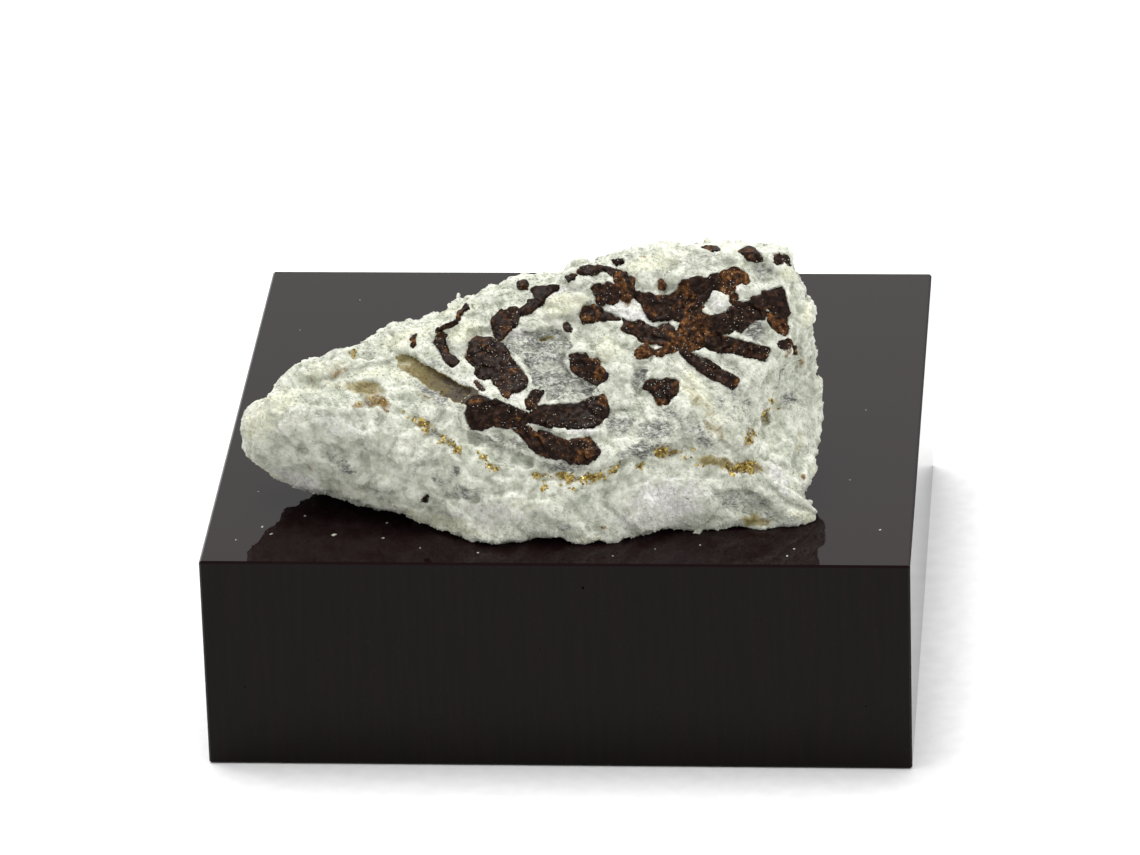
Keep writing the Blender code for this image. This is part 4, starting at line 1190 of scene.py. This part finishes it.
# %% Scatter
def scattered(surface, shape, name, density, attribute, small, large, tilt, seed):
    """Copies of shape over surface, density to the square millimetre times the attribute, as one mesh."""
    tree = bpy.data.node_groups.new("scatter", "GeometryNodeTree")
    tree.interface.new_socket("Geometry", in_out="INPUT", socket_type="NodeSocketGeometry")
    tree.interface.new_socket("Geometry", in_out="OUTPUT", socket_type="NodeSocketGeometry")
    add, join = tree.nodes.new, tree.links.new
    source, target = add("NodeGroupInput"), add("NodeGroupOutput")
    amount = add("GeometryNodeInputNamedAttribute")
    amount.inputs["Name"].default_value = attribute
    dense = add("ShaderNodeMath")
    dense.operation = "MULTIPLY"
    dense.inputs[1].default_value = density / MM ** 2
    join(amount.outputs["Attribute"], dense.inputs[0])
    spread = add("GeometryNodeDistributePointsOnFaces")
    spread.inputs["Seed"].default_value = seed
    join(source.outputs[0], spread.inputs["Mesh"])
    join(dense.outputs[0], spread.inputs["Density"])
    turn = add("FunctionNodeRandomValue")
    turn.data_type = "FLOAT_VECTOR"
    turn.inputs["Min"].default_value = (-tilt, -tilt, -math.pi)
    turn.inputs["Max"].default_value = (tilt, tilt, math.pi)
    turn.inputs["Seed"].default_value = seed + 1
    angle = add("FunctionNodeEulerToRotation")
    join(turn.outputs[0], angle.inputs[0])
    turned = add("FunctionNodeRotateRotation")
    turned.rotation_space = "LOCAL"
    join(spread.outputs["Rotation"], turned.inputs[0])
    join(angle.outputs[0], turned.inputs[1])
    size = add("FunctionNodeRandomValue")
    size.data_type = "FLOAT_VECTOR"
    size.inputs["Min"].default_value = (small, small, small)
    size.inputs["Max"].default_value = (large, large, large)
    size.inputs["Seed"].default_value = seed + 2
    template = bpy.data.objects.new("template", shape)
    one = add("GeometryNodeObjectInfo")
    one.inputs["Object"].default_value = template
    copies = add("GeometryNodeInstanceOnPoints")
    join(spread.outputs["Points"], copies.inputs["Points"])
    join(one.outputs["Geometry"], copies.inputs["Instance"])
    join(turned.outputs[0], copies.inputs["Rotation"])
    join(size.outputs[0], copies.inputs["Scale"])
    real = add("GeometryNodeRealizeInstances")
    join(copies.outputs[0], real.inputs[0])
    join(real.outputs[0], target.inputs[0])
    mesh = modified(surface, "NODES", node_group=tree)
    mesh.name = name
    bpy.data.objects.remove(template)
    print(name, len(mesh.polygons), "faces")
    return mesh


def shape_from(make, **settings):
    """A mesh from one function or operator that makes its shape."""
    bm = bmesh.new()
    make(bm, **settings)
    return mesh_from(bm, "shape")


# %% [markdown]
# ## Sugar grains
# Broken albite shows single cleaved grains. Each is a little askew block of six faces, half sunk in the skin. Those
# of the side that shows and of the far side are two pieces, to keep each light. A dust of still smaller ones, knocked
# off the rock, lies on the crystals and shows as white points.

# %% Sugar grains
GRAIN_ASKEW = 0.12
GRAIN_SEED = 11


def askew_block(bm):
    bmesh.ops.create_cube(bm, size=1.0)
    for vert in bm.verts:
        vert.co += noise.random_unit_vector() * GRAIN_ASKEW


def kept_in(mesh):
    """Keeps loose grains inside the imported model's box."""
    move_points(mesh, np.clip(points_of(mesh), np.array(cad_bounds[0]), np.array(cad_bounds[1])))
    return mesh


def unmarked(mesh):
    """Adds the painted numbers that the rock's material reads, where a mesh lacks them."""
    for name in marks:
        if name not in mesh.attributes:
            paint(mesh, name, np.zeros(len(mesh.vertices)))
    return mesh


noise.seed_set(GRAIN_SEED)
GRAIN_SHAPE = shape_from(askew_block)
GRAIN_SMALL, GRAIN_LARGE = 0.05 * MM, 0.13 * MM
OLIVE_BARE, GREY_BARE = 0.8, 0.5  # the share of grains that the olive faces and the grey patches lack
bare = (1 - covered) * (1 - OLIVE_BARE * np.minimum(marks["olive"] * OLIVE_SMOOTH, 1))
bare = bare * (1 - GREY_BARE * np.minimum(marks["grey"], 1))
paint(rock, "front", bare * shown)
paint(rock, "rear", bare * ~shown)
for side, density, seed in (("front", 17.0, 3), ("rear", 8.0, 5)):
    grains = scattered(rock, GRAIN_SHAPE, "sugar_grains_" + side, density, side, GRAIN_SMALL, GRAIN_LARGE, math.pi,
                       seed)
    new_piece("sugar_grains_" + side, unmarked(kept_in(grains)), SUGAR, "matrix_rock")

# %% White dust on the crystals
DUST_SMALL, DUST_LARGE = 0.025 * MM, 0.055 * MM
DUST_PATCH, DUST_LEVEL = 1.4 * MM, 0.35
DUST_TURN = 0.3  # dust keeps to faces that turn at least this far to the eye
dusty = mesh_from(bmesh_of(*crystal_meshes.values()), "dusty")
points, normals = points_of(dusty), normals_of(dusty)
patchy = np.maximum(noise_over(points, DUST_PATCH) + DUST_LEVEL, 0)
paint(dusty, "dusty", (normals @ np.array(BACK) > DUST_TURN) * patchy)
dust = scattered(dusty, GRAIN_SHAPE, "crystal_dust", 9.0, "dusty", DUST_SMALL, DUST_LARGE, math.pi, 31)
new_piece("crystal_dust", unmarked(kept_in(dust)), SUGAR, "matrix_rock")

# %% [markdown]
# ## Mica
# The gold line along the stone is a thin seam of mica seen edge on: six-sided flakes a tenth to a third of a
# millimetre across, each tilted its own way, so some flash and some are dark. They lie closer where the seam widens.

# %% Mica flakes
FLAKE_SMALL, FLAKE_LARGE = 0.12 * MM, 0.38 * MM
FLAKE_TILT = 0.9
MICA_TONE = 0.25  # in mm


def gold_mica(name):
    material = new_material(name)
    place = add_node(material, "TexCoord").outputs["Object"]
    tone = add_node(material, "TexNoise", Vector=place, Scale=per_metre(MICA_TONE), Detail=2.0)
    colour = add_node(material, "ValToRGB", {"stops": [(0.36, "#5C4A1B"), (0.50, "#A68C3E"), (0.62, "#DAC577")]},
                      Fac=tone.outputs["Fac"]).outputs[0]
    link(material, colour, "Base Color")
    shader_of(material).inputs["Metallic"].default_value = 0.5
    shader_of(material).inputs["Roughness"].default_value = 0.25
    return material


flake = shape_from(bmesh.ops.create_cone, cap_ends=True, segments=6, radius1=0.5, radius2=0.46, depth=0.16)
flakes = scattered(rock, flake, "mica_flakes", 34.0, "seam", FLAKE_SMALL, FLAKE_LARGE, FLAKE_TILT, 21)
new_piece("mica_flakes", kept_in(flakes), gold_mica("gold_mica"), "matrix_rock")

# %% [markdown]
# ## Acrylic block
# Cast acrylic, sawn and polished: black with a trace of brown, mirror-smooth on top. Its sides keep faint, almost
# upright saw marks under the polish. The top mirrors the stone more faintly in the photograph than acrylic would, so
# its specular level is low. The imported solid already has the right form, so it only gets this material. A few white
# crumbs of the rock lie on it and cling to its sides.

# %% Material: black acrylic
SAW_STREAK, SAW_SLANT = 0.5, math.radians(9)  # the streak's width in mm, and how far it leans


def black_acrylic(name):
    material = new_material(name)
    shader = shader_of(material)
    place = add_node(material, "TexCoord").outputs["Object"]
    slanted = add_node(material, "Mapping", Vector=place, Rotation=(0.0, SAW_SLANT, 0.0),
                       Scale=(1.0, 1.0, 0.05)).outputs[0]
    streaks = add_node(material, "TexNoise", Vector=slanted, Scale=per_metre(SAW_STREAK), Detail=4.0, Roughness=0.7)
    upright = add_node(material, "NewGeometry").outputs["Normal"]
    facing = add_node(material, "SeparateXYZ", Vector=upright).outputs["Z"]
    side = add_node(material, "MapRange", Value=facing, From_Min=0.5, From_Max=0.1).outputs[0]
    body = add_node(material, "ValToRGB", {"stops": [(0.40, "#0B0605"), (0.65, "#0F0806")]},
                    Fac=streaks.outputs["Fac"]).outputs[0]
    # the top gets a lighter, warmer base colour than the sides, a painted reflection tint
    colour = add_node(material, "Mix", {"data_type": "RGBA"}, i0=side, i6=linear("#150A0B"), i7=body).outputs[2]
    link(material, colour, "Base Color")
    rough = add_node(material, "MapRange", Value=side, To_Min=0.03, To_Max=0.1).outputs[0]
    link(material, rough, "Roughness")
    shader.inputs["IOR"].default_value = 1.49
    sheen = add_node(material, "MapRange", Value=side, To_Min=0.05, To_Max=0.1).outputs[0]
    link(material, sheen, "Specular IOR Level")
    return material


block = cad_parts["display_block"]
block.material_slots[0].material = black_acrylic("black_cast_acrylic")
print("the block is finished in", block.material_slots[0].material.name)

# %% Crumbs on the block
BLOCK_CRUMBS = [  # pixels of the photograph, and the crumb's size in mm
    (583, 588, 0.2), (697, 533, 0.5), (245, 687, 0.15), (700, 545, 0.12), (262, 527, 0.18), (334, 535, 0.3),
    (383, 538, 0.16), (787, 556, 0.18), (794, 549, 0.15), (305, 516, 0.12), (387, 523, 0.14), (258, 492, 0.16),
    (271, 534, 0.2), (420, 548, 0.12), (478, 553, 0.14), (613, 556, 0.12), (655, 549, 0.1), (236, 540, 0.14),
    (318, 660, 0.1), (540, 650, 0.1), (760, 620, 0.1), (866, 706, 0.12), (430, 700, 0.1), (660, 716, 0.1),
    (850, 480, 0.12), (866, 410, 0.1), (880, 530, 0.14), (300, 330, 0.1), (360, 300, 0.1), (220, 600, 0.1),
]
CRUMB_SHAPE, CRUMB_ASKEW = (1.0, 0.6, 0.3), 0.15
block_form = tree_of(merged_copy("display_block"))
low, high = cad_bounds
bm = bmesh.new()
for u, v, size in BLOCK_CRUMBS:
    hit, facing, _, _ = block_form.ray_cast(EYE, sight_line(u, v))
    made = bmesh.ops.create_cube(bm, size=size * MM)["verts"]
    flat = Matrix.Diagonal(CRUMB_SHAPE).to_4x4()
    turned = Matrix.Rotation(u, 4, "Z")
    bmesh.ops.transform(bm, matrix=facing.to_track_quat("Z", "Y").to_matrix().to_4x4() @ turned @ flat, verts=made)
    bmesh.ops.translate(bm, vec=hit, verts=made)
    for vert in made:
        vert.co += noise.random_unit_vector() * size * MM * CRUMB_ASKEW
        vert.co = Vector(min(max(value, least), most) for value, least, most in zip(vert.co, low, high))
new_piece("block_crumbs", unmarked(mesh_from(bm, "block_crumbs")), SUGAR, "matrix_rock")
print("crumbs on the block", len(BLOCK_CRUMBS))

# %% [markdown]
# ## Studio
# A white sheet under the object, a white surround and two soft boxes: a large one above and behind, whose light
# grazes the grains, and a weaker one to the right, which lights the stone's broken end. The surround is brighter
# behind the object, as if a white card stood there, because that is what the block's polished top mirrors.

# %% Floor, lights and surround
SURROUND, CARD = 0.74, 2.1
CARD_WAY = (-0.07, 0.9, 0.42)  # the direction of the white card that the block's top mirrors
CARD_EDGE = 0.95, 0.985
PAPER_FIBRE, PAPER_SIZE = 1.2, 1.5  # in mm, and half the sheet's side in metres


def soft_box(name, place, aim, size, watts):
    lamp = bpy.data.objects.new(name, bpy.data.lights.new(name, "AREA"))
    bpy.context.scene.collection.objects.link(lamp)
    lamp.data.size = size
    lamp.data.energy = watts
    lamp.location = place
    lamp.rotation_mode = "QUATERNION"
    lamp.rotation_quaternion = (Vector(aim) - Vector(place)).to_track_quat("-Z", "Y")


def white_paper(name):
    material = new_material(name)
    place = add_node(material, "TexCoord").outputs["Object"]
    fibre = add_node(material, "TexNoise", Vector=place, Scale=per_metre(PAPER_FIBRE), Detail=3.0)
    colour = add_node(material, "ValToRGB", {"stops": [(0.3, "#F3F3F3"), (0.7, "#FAFAFA")]}, Fac=fibre.outputs["Fac"])
    link(material, colour.outputs[0], "Base Color")
    shader_of(material).inputs["Roughness"].default_value = 0.9
    return material


def sheet_of_paper(bm):
    bmesh.ops.create_grid(bm, x_segments=2, y_segments=2, size=PAPER_SIZE)


floor = bpy.data.objects.new("paper_floor", shape_from(sheet_of_paper))
bpy.context.scene.collection.objects.link(floor)
floor.data.materials.append(white_paper("matt_white_paper"))
soft_box("top_box", place=(-0.06, 0.07, 0.42), aim=(0, -0.01, 0.02), size=0.26, watts=1.6)
soft_box("right_box", place=(0.4, -0.2, 0.25), aim=(0, 0, 0.02), size=0.3, watts=0.8)
print("floor", floor.name, "and two soft boxes")

# %% White surround
world = bpy.data.worlds.new("white_surround")
bpy.context.scene.world = world
world.use_nodes = True
sky = world.node_tree
towards = sky.nodes.new("ShaderNodeTexCoord").outputs["Generated"]
to_card = sky.nodes.new("ShaderNodeVectorMath")
to_card.operation = "DOT_PRODUCT"
to_card.inputs[1].default_value = CARD_WAY
sky.links.new(towards, to_card.inputs[0])
card = sky.nodes.new("ShaderNodeMapRange")
card.interpolation_type = "SMOOTHSTEP"
for name, value in zip(("From Min", "From Max", "To Min", "To Max"), (*CARD_EDGE, SURROUND, CARD)):
    card.inputs[name].default_value = value
sky.links.new(to_card.outputs["Value"], card.inputs["Value"])
sky.links.new(card.outputs[0], sky.nodes["Background"].inputs["Strength"])
sky.nodes["Background"].inputs["Color"].default_value = linear("#FFFFFF")
bpy.context.scene.view_settings.view_transform = "Standard"
print("surround", SURROUND, "and card", CARD)
